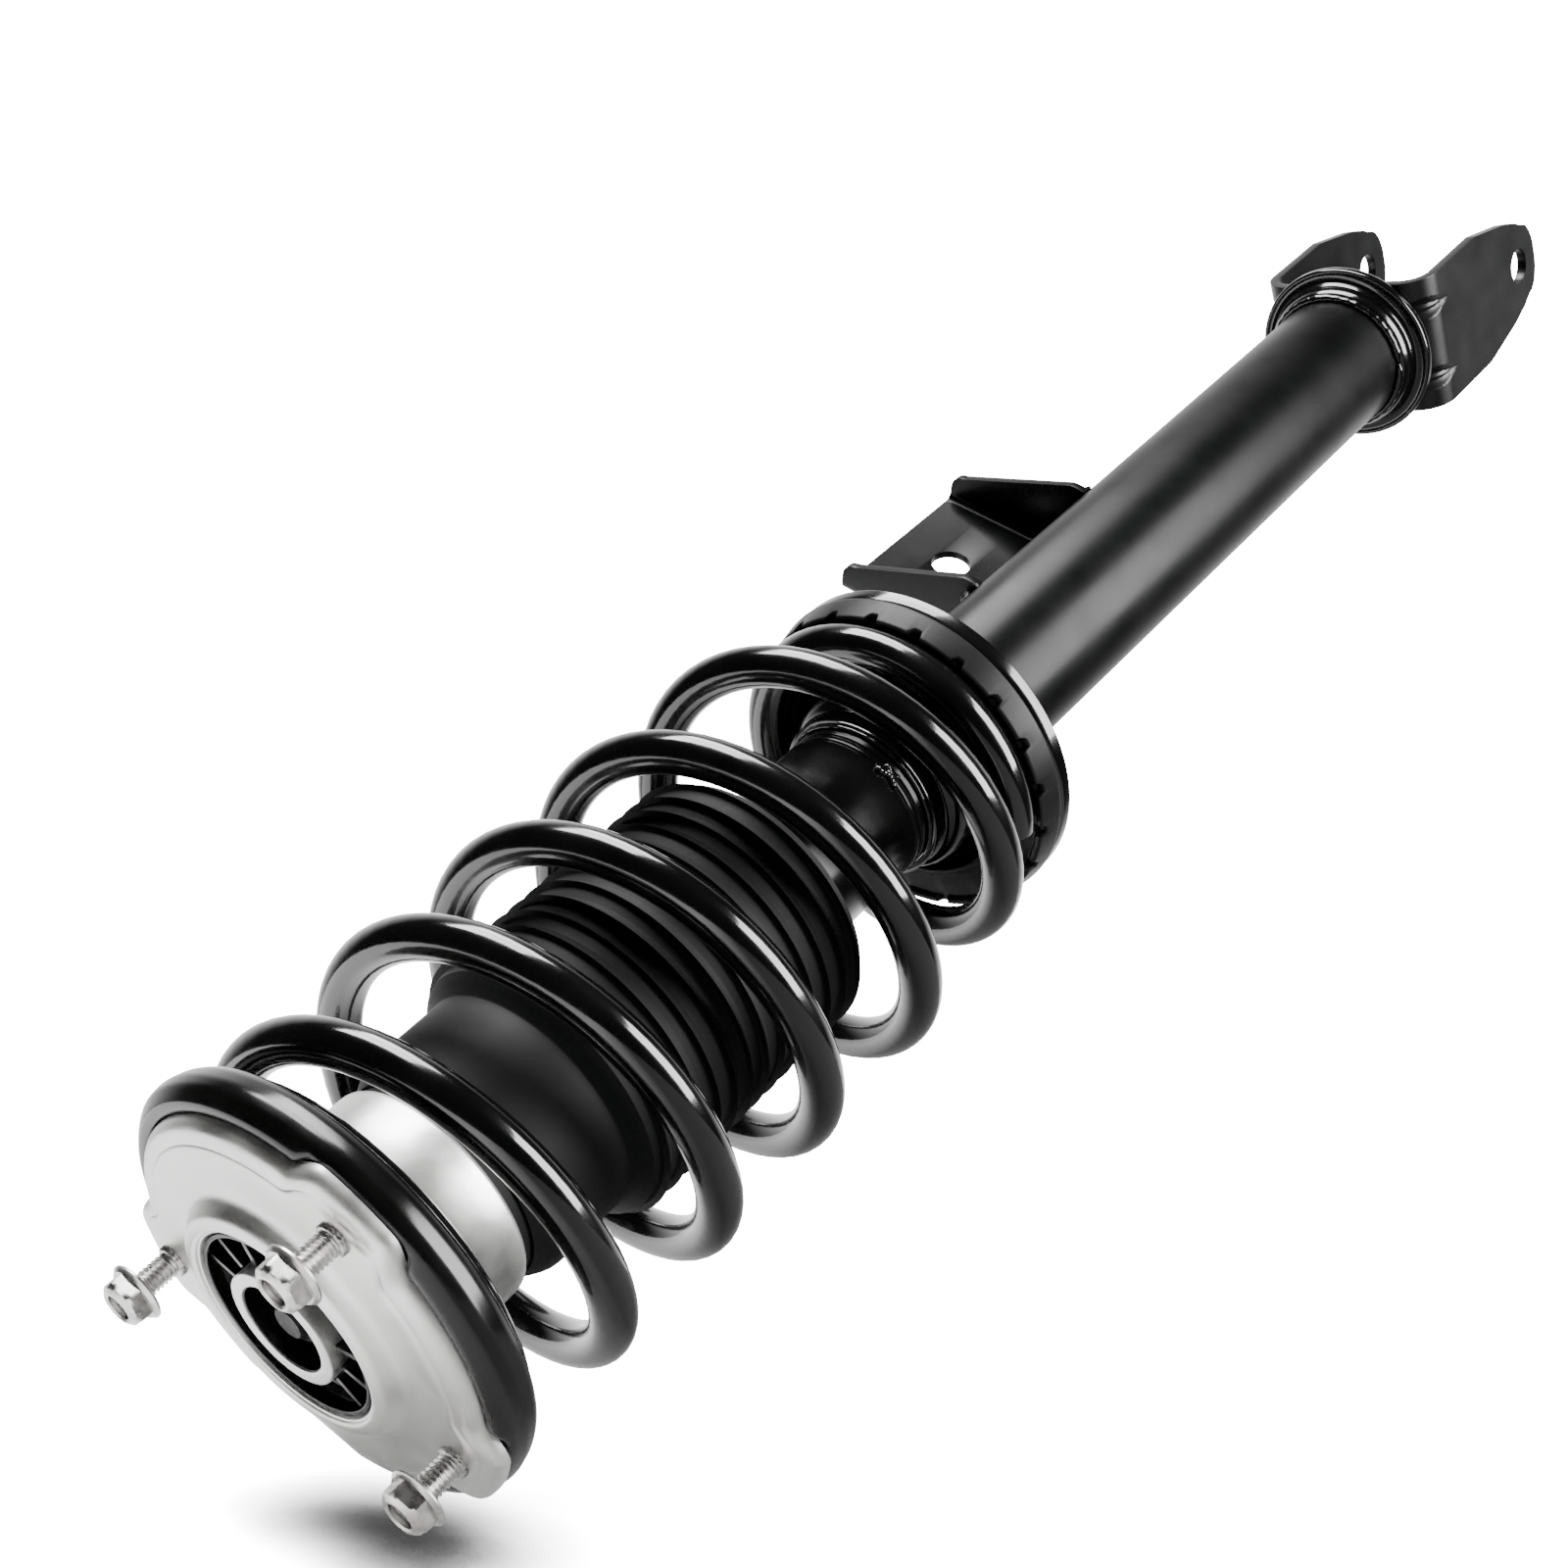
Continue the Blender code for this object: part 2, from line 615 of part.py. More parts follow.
def make_bump_stop():
    """A foam buffer with three waists, bored for the piston rod."""
    outline = [
        (BUMP_BORE_R, BUMP_TOP_Z),
        (BUMP_SHOULDER_R, BUMP_TOP_Z),
        (BUMP_SHOULDER_R, BUMP_SHOULDER_Z),
    ]
    for waist_z in BUMP_WAIST_Z:
        outline.append((BUMP_WAIST_R, waist_z))
        outline.append((BUMP_BULGE_R, waist_z - BUMP_BULGE_BELOW_WAIST))
    outline.append((BUMP_TIP_R, BUMP_BOTTOM_Z))
    outline.append((BUMP_BORE_R, BUMP_BOTTOM_Z))
    turned("bump_stop", outline, FOAM, PARTS, COARSE)


def make_boot():
    """A bellows with a smooth upper part, whose collar slides on the tube."""
    pitch = (BOOT_FOLD_TOP_Z - BOOT_FOLD_BOTTOM_Z) / BOOT_FOLDS
    outline = [
        (BOOT_NECK_R, BOOT_TOP_Z),
        (BOOT_NECK_R, CUP_BOTTOM_Z - 2.0 * MM),
        (BOOT_NECK_R + 2.4 * MM, CUP_BOTTOM_Z - 5.0 * MM),
        (BOOT_SMOOTH_R, CUP_BOTTOM_Z - 13.0 * MM),
        (BOOT_SMOOTH_R, BOOT_FOLD_TOP_Z + 4.0 * MM),
    ]
    for i in range(BOOT_FOLDS):
        top = BOOT_FOLD_TOP_Z - i * pitch
        outline.append((BOOT_VALLEY_R, top))
        outline.append((BOOT_CREST_R, top - pitch * 0.5))
    outline.append((BOOT_VALLEY_R, BOOT_FOLD_BOTTOM_Z))
    outline.append((BOOT_COLLAR_R + 3.0 * MM, BOOT_FOLD_BOTTOM_Z - 3.0 * MM))
    outline.append((BOOT_COLLAR_R + 3.0 * MM, BOOT_BOTTOM_Z))
    outline.append((BOOT_COLLAR_R, BOOT_BOTTOM_Z))
    outline.append((BOOT_COLLAR_R, BOOT_FOLD_BOTTOM_Z + 0.6 * MM))
    outline.append((BOOT_VALLEY_R - BOOT_WALL, BOOT_FOLD_BOTTOM_Z + BOOT_WALL))
    outline.append((BOOT_VALLEY_R - BOOT_WALL, BOOT_FOLD_TOP_Z))
    outline.append((BOOT_SMOOTH_R - BOOT_WALL, BOOT_FOLD_TOP_Z + 5.0 * MM))
    outline.append((BOOT_SMOOTH_R - BOOT_WALL, CUP_BOTTOM_Z - 13.5 * MM))
    outline.append((BOOT_NECK_R - BOOT_WALL, CUP_BOTTOM_Z - 4.0 * MM))
    outline.append((BOOT_NECK_R - BOOT_WALL, BOOT_TOP_Z))
    turned("dust_boot", outline, MATTE_BLACK, PARTS, 24)


def washer(name, r_outer, z_bottom, z_top, mat, r_inner=SPIGOT_BORE_R):
    """A plain ring, bored for the rod's spigot unless another bore is given."""
    outline = [(r_outer, z_top), (r_outer, z_bottom), (r_inner, z_bottom), (r_inner, z_top)]
    return turned(name, outline, mat, PARTS, COARSE)


def make_rod():
    outline = [
        (0.0, ROD_TOP_Z),
        (ROD_SPIGOT_R - 1.0 * MM, ROD_TOP_Z),
        (ROD_SPIGOT_R, ROD_TOP_Z - 1.0 * MM),
        (ROD_SPIGOT_R, ROD_SHOULDER_Z),
        (ROD_R, ROD_SHOULDER_Z),
        (ROD_R, ROD_STEP_Z),
        (ROD_SPIGOT_R, ROD_STEP_Z),
        (ROD_SPIGOT_R, ROD_BOTTOM_Z),
        (0.0, ROD_BOTTOM_Z),
    ]
    turned("piston_rod", outline, CHROME, PARTS, COARSE)
    under_sleeve = SLEEVE_BOTTOM_Z - GAP
    washer("rod_washer_lower", LOWER_WASHER_R, LOWER_WASHER_BOTTOM_Z, under_sleeve, ZINC)
    on_floor = SLEEVE_FLOOR_Z + GAP
    washer("rod_washer_upper", UPPER_WASHER_R, on_floor, UPPER_WASHER_TOP_Z, ZINC)
    make_hex_nut("rod_nut", ROD_NUT_CORNER_R, ROD_NUT_BOTTOM_Z, ROD_NUT_TOP_Z)
    make_hex_nut("piston_nut", PISTON_NUT_CORNER_R, PISTON_NUT_BOTTOM_Z, PISTON_NUT_TOP_Z)


def make_hex_nut(name, corner_r, z_bottom, z_top):
    nut = add_mesh(name, cylinder_mesh(corner_r, corner_r, z_bottom, z_top, 6), ZINC, PARTS)
    bore = cylinder_mesh(
        SPIGOT_BORE_R, SPIGOT_BORE_R, z_bottom - CUTTER_REACH, z_top + CUTTER_REACH, 24
    )
    boolean(nut, add_cutter(bore))


def make_piston():
    """The piston with its sliding band, a shim stack on each face, and the rebound stop above it."""
    outline = [
        (SPIGOT_BORE_R, PISTON_TOP_Z),
        (PISTON_R, PISTON_TOP_Z),
        (PISTON_R, PISTON_GROOVE_TOP_Z),
        (PISTON_GROOVE_R, PISTON_GROOVE_TOP_Z),
        (PISTON_GROOVE_R, PISTON_GROOVE_BOTTOM_Z),
        (PISTON_R, PISTON_GROOVE_BOTTOM_Z),
        (PISTON_R, PISTON_BOTTOM_Z),
        (SPIGOT_BORE_R, PISTON_BOTTOM_Z),
    ]
    turned("piston", outline, CAST_GREY, PARTS, COARSE)
    band_top = PISTON_GROOVE_TOP_Z - GAP
    band_bottom = PISTON_GROOVE_BOTTOM_Z + GAP
    band_bore_r = PISTON_GROOVE_R + GAP
    washer("piston_band", PISTON_BAND_R, band_bottom, band_top, PLASTIC, band_bore_r)
    washer("rebound_shims", SHIM_R, PISTON_TOP_Z + GAP, ROD_STEP_Z - GAP, SPRING_STEEL)
    washer("compression_shims", SHIM_R, SHIM_BOTTOM_Z, PISTON_BOTTOM_Z - GAP, SPRING_STEEL)
    stop_bore_r = ROD_R + GAP
    washer(
        "rebound_stop", REBOUND_STOP_R, REBOUND_STOP_BOTTOM_Z, REBOUND_STOP_TOP_Z, PLASTIC, stop_bore_r
    )


def make_reserve_tube():
    """The outer tube, with three shallow rolled grooves above the spring seat."""
    outline = [(TUBE_R - TUBE_WALL, TUBE_TOP_Z), (TUBE_R, TUBE_TOP_Z)]
    for z in TUBE_GROOVE_Z:
        outline.append((TUBE_R, z + 0.7 * MM))
        outline.append((TUBE_R - 0.5 * MM, z))
        outline.append((TUBE_R, z - 0.7 * MM))
    outline.append((TUBE_R, TUBE_BOTTOM_Z))
    outline.append((TUBE_R - TUBE_WALL, TUBE_BOTTOM_Z))
    turned("reserve_tube", outline, GLOSS_BLACK, PARTS)


def make_damper_internals():
    """The inner tube with its rod guide and seal at the top, and its foot valve over the base cap."""
    inner_r = INNER_TUBE_R - INNER_TUBE_WALL
    washer("inner_tube", INNER_TUBE_R, INNER_TUBE_BOTTOM_Z, INNER_TUBE_TOP_Z, ZINC, inner_r)
    shell_r = TUBE_R - TUBE_WALL - GAP
    rod_bore_r = ROD_R + GAP
    plug_r = inner_r - GAP
    guide_step_z = INNER_TUBE_TOP_Z + GAP
    guide = [
        (rod_bore_r, GUIDE_TOP_Z),
        (shell_r, GUIDE_TOP_Z),
        (shell_r, guide_step_z),
        (plug_r, guide_step_z),
        (plug_r, GUIDE_BOTTOM_Z),
        (rod_bore_r, GUIDE_BOTTOM_Z),
    ]
    turned("rod_guide", guide, CAST_GREY, PARTS, COARSE)
    washer("oil_seal", shell_r, GUIDE_TOP_Z + GAP, SEAL_TOP_Z, RUBBER, rod_bore_r)
    foot_step_z = INNER_TUBE_BOTTOM_Z - GAP
    foot = [
        (0.0, FOOT_VALVE_TOP_Z),
        (plug_r, FOOT_VALVE_TOP_Z),
        (plug_r, foot_step_z),
        (INNER_TUBE_R, foot_step_z),
        (INNER_TUBE_R, FOOT_VALVE_BOTTOM_Z + FOOT_VALVE_CONE),
        (FOOT_VALVE_TIP_R, FOOT_VALVE_BOTTOM_Z),
        (0.0, FOOT_VALVE_BOTTOM_Z),
    ]
    turned("foot_valve", foot, CAST_GREY, PARTS, COARSE)
    base_top_z = FOOT_VALVE_BOTTOM_Z - GAP
    base = [
        (0.0, base_top_z),
        (shell_r, base_top_z),
        (shell_r, TUBE_BOTTOM_Z - 1.0 * MM),
        (BASE_CAP_TIP_R, BASE_CAP_BOTTOM_Z + 1.0 * MM),
        (0.0, BASE_CAP_BOTTOM_Z),
    ]
    turned("base_cap", base, GLOSS_BLACK, PARTS, COARSE)


def make_tube_cap():
    """A pressed cap over the tube's mouth, which the bump stop lands on."""
    half = CAP_WALL / 2.0
    skirt_r = TUBE_R + GAP + half
    line = [
        (ROD_R + 1.6 * MM, CAP_TOP_Z - half),
        (TUBE_R - 1.0 * MM, CAP_TOP_Z - half),
        (skirt_r, CAP_TOP_Z - 2.0 * CAP_WALL),
        (skirt_r, CAP_BOTTOM_Z),
    ]
    turned("tube_cap", sheet_outline(line, CAP_WALL), GLOSS_BLACK, PARTS)


def make_lower_seat():
    """The pan that carries the spring, and the rubber pad between the two."""
    neck_r = TUBE_R + GAP + SEAT_SHEET / 2.0
    line = [
        (neck_r, SEAT_TOP_Z),
        (neck_r, SEAT_TOP_Z - 7.0 * MM),
        (neck_r + 3.0 * MM, SEAT_TOP_Z - 10.0 * MM),
        (34.0 * MM, SEAT_TOP_Z - 16.0 * MM),
        (38.0 * MM, SEAT_TROUGH_Z + 6.0 * MM),
        (42.0 * MM, SEAT_TROUGH_Z),
        (53.0 * MM, SEAT_TROUGH_Z),
        (SEAT_R - 2.2 * MM, SEAT_TROUGH_Z - 1.8 * MM),
        (SEAT_R - 1.2 * MM, SEAT_RIM_Z),
    ]
    turned("lower_spring_seat", sheet_outline(line, SEAT_SHEET), GLOSS_BLACK, PARTS)
    top_of_sheet = SEAT_TROUGH_Z + SEAT_SHEET / 2.0 + GAP
    pad_top = COIL_BOTTOM_Z - WIRE_R - GAP
    outline = [
        (PAD_BORE_R, pad_top + 4.0 * MM),
        (43.0 * MM, pad_top + 3.0 * MM),
        (45.5 * MM, pad_top),
        (54.0 * MM, pad_top),
        (57.2 * MM, pad_top + 1.6 * MM),
        (PAD_R, pad_top),
        (PAD_R, -286.5 * MM),
        (56.6 * MM, -285.4 * MM),
        (53.6 * MM, top_of_sheet),
        (43.2 * MM, top_of_sheet),
        (PAD_BORE_R, pad_top + 1.0 * MM),
    ]
    turned("lower_spring_isolator", outline, RUBBER, PARTS)


def make_link_bracket():
    """A channel: a web with a hole, and two flanges that widen towards the tube they are welded to."""
    web_back = BRACKET_WEB_OFFSET + BRACKET_SHEET
    height = BRACKET_TOP_Z - BRACKET_BOTTOM_Z
    web = [
        (15.0 * MM, web_back),
        (BRACKET_REACH, web_back),
        (BRACKET_REACH, BRACKET_WEB_OFFSET),
        (15.0 * MM, BRACKET_WEB_OFFSET),
    ]
    flange = [
        (12.0 * MM, web_back - 1.0 * MM),
        (BRACKET_REACH - 0.6 * MM, web_back - 1.0 * MM),
        (BRACKET_REACH - 0.6 * MM, 10.0 * MM),
        (BRACKET_REACH - 2.0 * MM, 7.0 * MM),
        (BRACKET_REACH - 5.0 * MM, 4.6 * MM),
        (29.5 * MM, -15.5 * MM),
        (26.0 * MM, -16.2 * MM),
        (12.0 * MM, -12.0 * MM),
    ]
    bracket = add_mesh("link_bracket", flat_outline("web", [web], height), GLOSS_BLACK, PARTS)
    middle = (BRACKET_TOP_Z + BRACKET_BOTTOM_Z) / 2.0
    bracket.location = (0.0, 0.0, middle)
    bracket.rotation_euler = (0.0, 0.0, BRACKET_ANGLE)
    for z in (BRACKET_TOP_Z - BRACKET_SHEET / 2.0, BRACKET_BOTTOM_Z + BRACKET_SHEET / 2.0):
        wing = add_cutter(flat_outline("flange", [flange], BRACKET_SHEET), "bracket_flange")
        wing.location = (0.0, 0.0, z)
        wing.rotation_euler = (0.0, 0.0, BRACKET_ANGLE)
        boolean(bracket, wing, "UNION")
    room_r = TUBE_R + GAP
    room = cylinder_mesh(room_r, room_r, BRACKET_BOTTOM_Z - 9 * MM, BRACKET_TOP_Z + 9 * MM, FINE)
    boolean(bracket, add_cutter(room))
    hole = add_cutter(cylinder_mesh(BRACKET_HOLE_R, BRACKET_HOLE_R, -8.0 * MM, 8.0 * MM, 28))
    outward = Matrix.Rotation(BRACKET_ANGLE, 4, "Z")
    lie_down = Matrix.Rotation(math.pi / 2.0, 4, "X")
    place = Vector((BRACKET_HOLE_REACH, BRACKET_WEB_OFFSET, BRACKET_HOLE_Z))
    hole.matrix_world = outward @ Matrix.Translation(place) @ lie_down
    boolean(bracket, hole)


def fork_path():
    """Middle line of the fork's bent sheet, as (x, z, half width) from one ear's tip to the middle."""
    half = FORK_SHEET / 2.0
    x_ear = FORK_OUTER_X - half
    path = [
        (x_ear, FORK_BOTTOM_Z, 5.0 * MM),
        (x_ear, FORK_BOTTOM_Z + 2.6 * MM, 10.0 * MM),
        (x_ear, FORK_BOTTOM_Z + 9.0 * MM, 15.6 * MM),
        (x_ear, FORK_BOTTOM_Z + 26.0 * MM, 22.4 * MM),
        (x_ear, FORK_TAPER_Z, FORK_HALF_WIDTH),
    ]
    bend_z = FORK_TOP_Z - half - FORK_BEND_R
    for i in range(7):
        turn = math.pi / 2.0 * i / 6
        x = x_ear - FORK_BEND_R + FORK_BEND_R * math.cos(turn)
        path.append((x, bend_z + FORK_BEND_R * math.sin(turn), FORK_HALF_WIDTH))
    path.append((0.0, FORK_TOP_Z - half, FORK_HALF_WIDTH))
    return path


def make_fork():
    shape = bmesh.new()
    side = fork_path()
    both = side + [(-x, z, width) for x, z, width in reversed(side[:-1])]
    edges = []
    for x, z, width in both:
        front = shape.verts.new((x, -width, z))
        back = shape.verts.new((x, width, z))
        edges.append((front, back))
    for (a, b), (c, d) in zip(edges, edges[1:]):
        shape.faces.new((a, b, d, c))
    bmesh.ops.recalc_face_normals(shape, faces=shape.faces)
    mesh = bpy.data.meshes.new("fork_bracket")
    shape.to_mesh(mesh)
    shape.free()
    fork = add_mesh("fork_bracket", mesh, GLOSS_BLACK, PARTS)
    sheet = fork.modifiers.new("Sheet", "SOLIDIFY")
    sheet.thickness = FORK_SHEET
    sheet.offset = 0.0
    sheet.use_even_offset = True
    bolt_way = add_cutter(cylinder_mesh(FORK_HOLE_R, FORK_HOLE_R, -50.0 * MM, 50.0 * MM, 28))
    bolt_way.location = (0.0, 0.0, FORK_HOLE_Z)
    bolt_way.rotation_euler = (0.0, math.pi / 2.0, 0.0)
    boolean(fork, bolt_way)
    base_r = FORK_BASE_HOLE_R
    base_hole = cylinder_mesh(
        base_r, base_r, FORK_TOP_Z - FORK_SHEET - CUTTER_REACH, FORK_TOP_Z + CUTTER_REACH
    )
    boolean(fork, add_cutter(base_hole))
    for x_side in (-1.0, 1.0):
        for y_side in (-1.0, 1.0):
            boolean(fork, dart_cutter(x_side, y_side))


def dart_cutter(x_side, y_side):
    """A leaf-shaped dent pressed into the outside of a bend to stiffen it."""
    shape = bmesh.new()
    bmesh.ops.create_uvsphere(shape, u_segments=14, v_segments=9, radius=1.0)
    bmesh.ops.scale(shape, verts=shape.verts, vec=DART_SIZE)
    mesh = bpy.data.meshes.new("dart")
    shape.to_mesh(mesh)
    shape.free()
    dart = add_cutter(mesh, "dart")
    inset = FORK_BEND_R + FORK_SHEET / 2.0
    corner_x = FORK_OUTER_X - inset * (1.0 - math.sqrt(0.5))
    corner_z = FORK_TOP_Z - inset * (1.0 - math.sqrt(0.5))
    dart.location = (x_side * corner_x, y_side * DART_Y, corner_z)
    dart.rotation_euler = (0.0, -x_side * math.pi / 4.0, 0.0)
    return dart


def make_fork_collar():
    """A flared ring that joins the tube's foot to the fork's flat base."""
    inner = TUBE_R + GAP
    outline = [
        (inner, COLLAR_TOP_Z),
        (inner + COLLAR_LIP, COLLAR_TOP_Z),
        (inner + 3.6 * MM, COLLAR_TOP_Z - 2.0 * MM),
        (32.0 * MM, -606.5 * MM),
        (35.8 * MM, -609.2 * MM),
        (COLLAR_R, -611.0 * MM),
        (COLLAR_R, FORK_TOP_Z + GAP),
        (COLLAR_BORE_R, FORK_TOP_Z + GAP),
        (COLLAR_BORE_R, TUBE_BOTTOM_Z - 2.0 * MM),
        (inner, TUBE_BOTTOM_Z - GAP),
    ]
    turned("fork_collar", outline, GLOSS_BLACK, PARTS)


clear_scene()
PARTS = new_collection("strut_assembly")
CUTTERS = new_collection("cutters")
SATIN_STEEL = material("satin_steel", (0.60, 0.60, 0.58), 0.42, 0.9)
ZINC = material("zinc_plate", (0.66, 0.65, 0.61), 0.3, 1.0)
GLOSS_BLACK = material("gloss_black_paint", (0.012, 0.012, 0.013), 0.18, 0.0)
MATTE_BLACK = material("boot_rubber", (0.022, 0.022, 0.024), 0.55, 0.0)
RUBBER = material("black_rubber", (0.015, 0.015, 0.016), 0.5, 0.0)
FOAM = material("buffer_foam", (0.80, 0.76, 0.55), 0.8, 0.0)
CHROME = material("hard_chrome", (0.75, 0.75, 0.76), 0.1, 1.0)
CAST_GREY = material("sintered_iron", (0.32, 0.32, 0.33), 0.5, 0.9)
SPRING_STEEL = material("shim_steel", (0.50, 0.50, 0.52), 0.3, 1.0)
PLASTIC = material("low_friction_plastic", (0.10, 0.22, 0.16), 0.5, 0.0)

make_mounting_plate()
make_studs_and_nuts()
make_bush()
make_upper_isolator()
make_spring()
make_cup()
make_bump_stop()
make_boot()
make_rod()
make_piston()
make_reserve_tube()
make_damper_internals()
make_tube_cap()
make_lower_seat()
make_link_bracket()
make_fork()
make_fork_collar()
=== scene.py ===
"""Looks of the coil-over strut assembly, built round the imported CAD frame.

Lengths are metres; MM turns millimetres into them. +Z runs up the strut's axis.
"""

import json
import math

import bmesh
import bpy
import numpy as np
from mathutils import Matrix, Vector, noise


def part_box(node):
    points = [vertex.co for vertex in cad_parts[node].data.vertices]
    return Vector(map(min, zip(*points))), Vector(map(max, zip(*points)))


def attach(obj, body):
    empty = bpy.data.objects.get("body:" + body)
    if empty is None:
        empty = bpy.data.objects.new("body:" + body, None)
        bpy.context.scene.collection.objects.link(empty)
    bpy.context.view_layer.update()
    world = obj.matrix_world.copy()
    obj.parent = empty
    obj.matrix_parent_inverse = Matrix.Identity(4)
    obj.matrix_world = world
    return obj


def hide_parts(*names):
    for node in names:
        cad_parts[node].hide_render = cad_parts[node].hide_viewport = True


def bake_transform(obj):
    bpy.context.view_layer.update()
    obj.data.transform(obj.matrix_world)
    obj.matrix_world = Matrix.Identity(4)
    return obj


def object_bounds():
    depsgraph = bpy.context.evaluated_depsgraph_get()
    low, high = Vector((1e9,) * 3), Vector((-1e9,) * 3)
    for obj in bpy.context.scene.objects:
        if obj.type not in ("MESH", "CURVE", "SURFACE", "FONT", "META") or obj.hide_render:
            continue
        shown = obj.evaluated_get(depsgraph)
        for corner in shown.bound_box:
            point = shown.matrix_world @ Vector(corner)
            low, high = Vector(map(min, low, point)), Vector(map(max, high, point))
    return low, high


MM = 0.001
FULL_TURN = 2.0 * math.pi
ROUND = 128  # sides of a large turned piece
SMALL_ROUND = 64
FINE_ROUND = 288  # sides of a ring whose section changes with the angle
SHARP_ANGLE = math.radians(32.0)
NEVER_SHARP = math.pi

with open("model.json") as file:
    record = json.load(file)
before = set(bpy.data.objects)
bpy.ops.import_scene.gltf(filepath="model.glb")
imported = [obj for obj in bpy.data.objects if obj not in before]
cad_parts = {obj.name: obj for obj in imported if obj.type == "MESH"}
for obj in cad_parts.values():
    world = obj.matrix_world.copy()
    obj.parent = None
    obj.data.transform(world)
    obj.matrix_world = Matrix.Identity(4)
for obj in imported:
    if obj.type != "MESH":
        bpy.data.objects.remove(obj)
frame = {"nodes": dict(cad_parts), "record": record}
cad_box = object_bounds()
TOP = "top_mount"
DAMPER = "damper"


def turned_size(node):
    """Radius, bottom and top of a CAD node that is turned about the strut's axis."""
    low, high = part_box(node)
    return high.x, low.z, high.z


TUBE_R, TUBE_BOTTOM, TUBE_TOP = turned_size("reserve_tube")
SEAT_R, SEAT_BOTTOM, SEAT_TOP = turned_size("lower_spring_seat")
BOOT_R, BOOT_BOTTOM, BOOT_TOP = turned_size("dust_boot")
CUP_R, CUP_BOTTOM, CUP_TOP = turned_size("jounce_cup")
COLLAR_R, COLLAR_BOTTOM, COLLAR_TOP = turned_size("fork_collar")
CAN_R, CAN_BOTTOM, CAN_TOP = turned_size("bush_can")
SLEEVE_R, SLEEVE_BOTTOM, SLEEVE_TOP = turned_size("bush_sleeve")
ISOLATOR_R, ISOLATOR_BOTTOM, _ = turned_size("upper_spring_isolator")
PAD_R, PAD_BOTTOM, PAD_TOP = turned_size("lower_spring_isolator")

# Mounting plate
PLATE_SHEET = 2.6 * MM
PLATE_R = 62.5 * MM
LOBE_R = 69.8 * MM
LOBE_HALF_ANGLE = math.radians(9.5)
LOBE_BLEND_ANGLE = math.radians(10.5)
LOBE_ANGLES = [math.radians(a) for a in (180.0, 46.0, -39.5)]
FLAT_SIDE_ANGLE = math.radians(240.0)
FLAT_SIDE_DISTANCE = 58.5 * MM
SKIRT_BOTTOM = -6.5 * MM
HUB_BORE_R = 31.0 * MM
HUB_RIM_R = 36.5 * MM
HUB_FOOT_R = 44.0 * MM
HUB_TOP = 6.0 * MM

# Studs and flange nuts
STUD_SIDES = 48
THREAD_R = 4.0 * MM
THREAD_PITCH = 1.5 * MM
THREAD_STEPS = 200
KNURL_TOP = 1.5 * MM
KNURL_R = 4.75 * MM
KNURL_DEPTH = 0.35 * MM
KNURL_COUNT = 16
NUT_SIDES = 96
NUT_BORE_R = 4.15 * MM
NUT_APOTHEM = 6.9 * MM
NUT_CORNER_R = 7.95 * MM

# Bush and rod
CAN_WALL = 1.3 * MM
BUSH_FLOOR = -2.5 * MM
RIB_ANGLES = [math.radians(a) for a in (95.0, 121.0, 147.0, -5.0, -29.0, -55.0)]
RIB_WIDTH = 2.4 * MM
RIB_BOTTOM = -5.0 * MM
BUSH_CUP_R = 14.5 * MM
BUSH_CUP_FLOOR = -10.0 * MM
BUSH_BORE_R = 6.3 * MM
# Thickness of the thin black layer that keeps the bush's cup dark inside
DARK_LAYER_THICKNESS = 0.25 * MM
ROD_NUT_SIDES = 72
ROD_NUT_BORE_R = 6.2 * MM
ROD_SHOULDER = -16.1 * MM
ROD_STEP = -237.0 * MM
SPIGOT_R = 6.0 * MM

# Coil spring
WIRE_R = 6.8 * MM
WIRE_SIDES = 32
WIRE_END_SCALES = (0.97, 0.86)
WIRE_END_STEP = 0.6 * MM
COIL_STEPS = 64  # cross-sections in a turn
COIL_R = 62.5 * MM
COIL_TOP_R = 58.0 * MM
COIL_BOTTOM_R = 50.0 * MM
COIL_TOP = -17.2 * MM
COIL_BOTTOM = -271.0 * MM
COIL_MIDDLE = -140.6 * MM
COIL_PITCH = 49.2 * MM
COIL_PITCH_CHANGE = -1.2 * MM
COIL_START_ANGLE = math.radians(38.0)
COIL_FIRST_TURN = -3.15
COIL_LAST_TURN = 3.3
COIL_BLEND = 2.0 * MM

# Spring isolators and jounce cup
ISOLATOR_LIP_TOP = -5.0 * MM
CHANNEL_GAP = 0.4 * MM
NOTCH_COUNT = 21
NOTCH_SHARE = 0.28
NOTCH_DEPTH = 2.3 * MM
CUP_WALL = 1.5 * MM

# Bellows
BELLOWS_TOP = -95.0 * MM
BELLOWS_BOTTOM = -194.0 * MM
BELLOWS_FOLDS = 13
BELLOWS_FOLD_STEPS = 32
BELLOWS_VALLEY_R = 43.8 * MM
BELLOWS_NECK_R = 33.4 * MM
BELLOWS_SLEEVE_R = 38.7 * MM
BELLOWS_COLLAR_R = 27.9 * MM
BELLOWS_WALL = 1.4 * MM

# Damper tube, lower seat and foot ring
TUBE_WALL = 2.5 * MM
GROOVES = (-248.0 * MM, -251.0 * MM)
GROOVE_HALF_WIDTH = 0.8 * MM
GROOVE_DEPTH = 0.5 * MM
SEAT_SHEET = 2.4 * MM
SEAT_TROUGH = -285.6 * MM
NECK_GAP = 0.3 * MM
WELD_STEP = 1.1 * MM

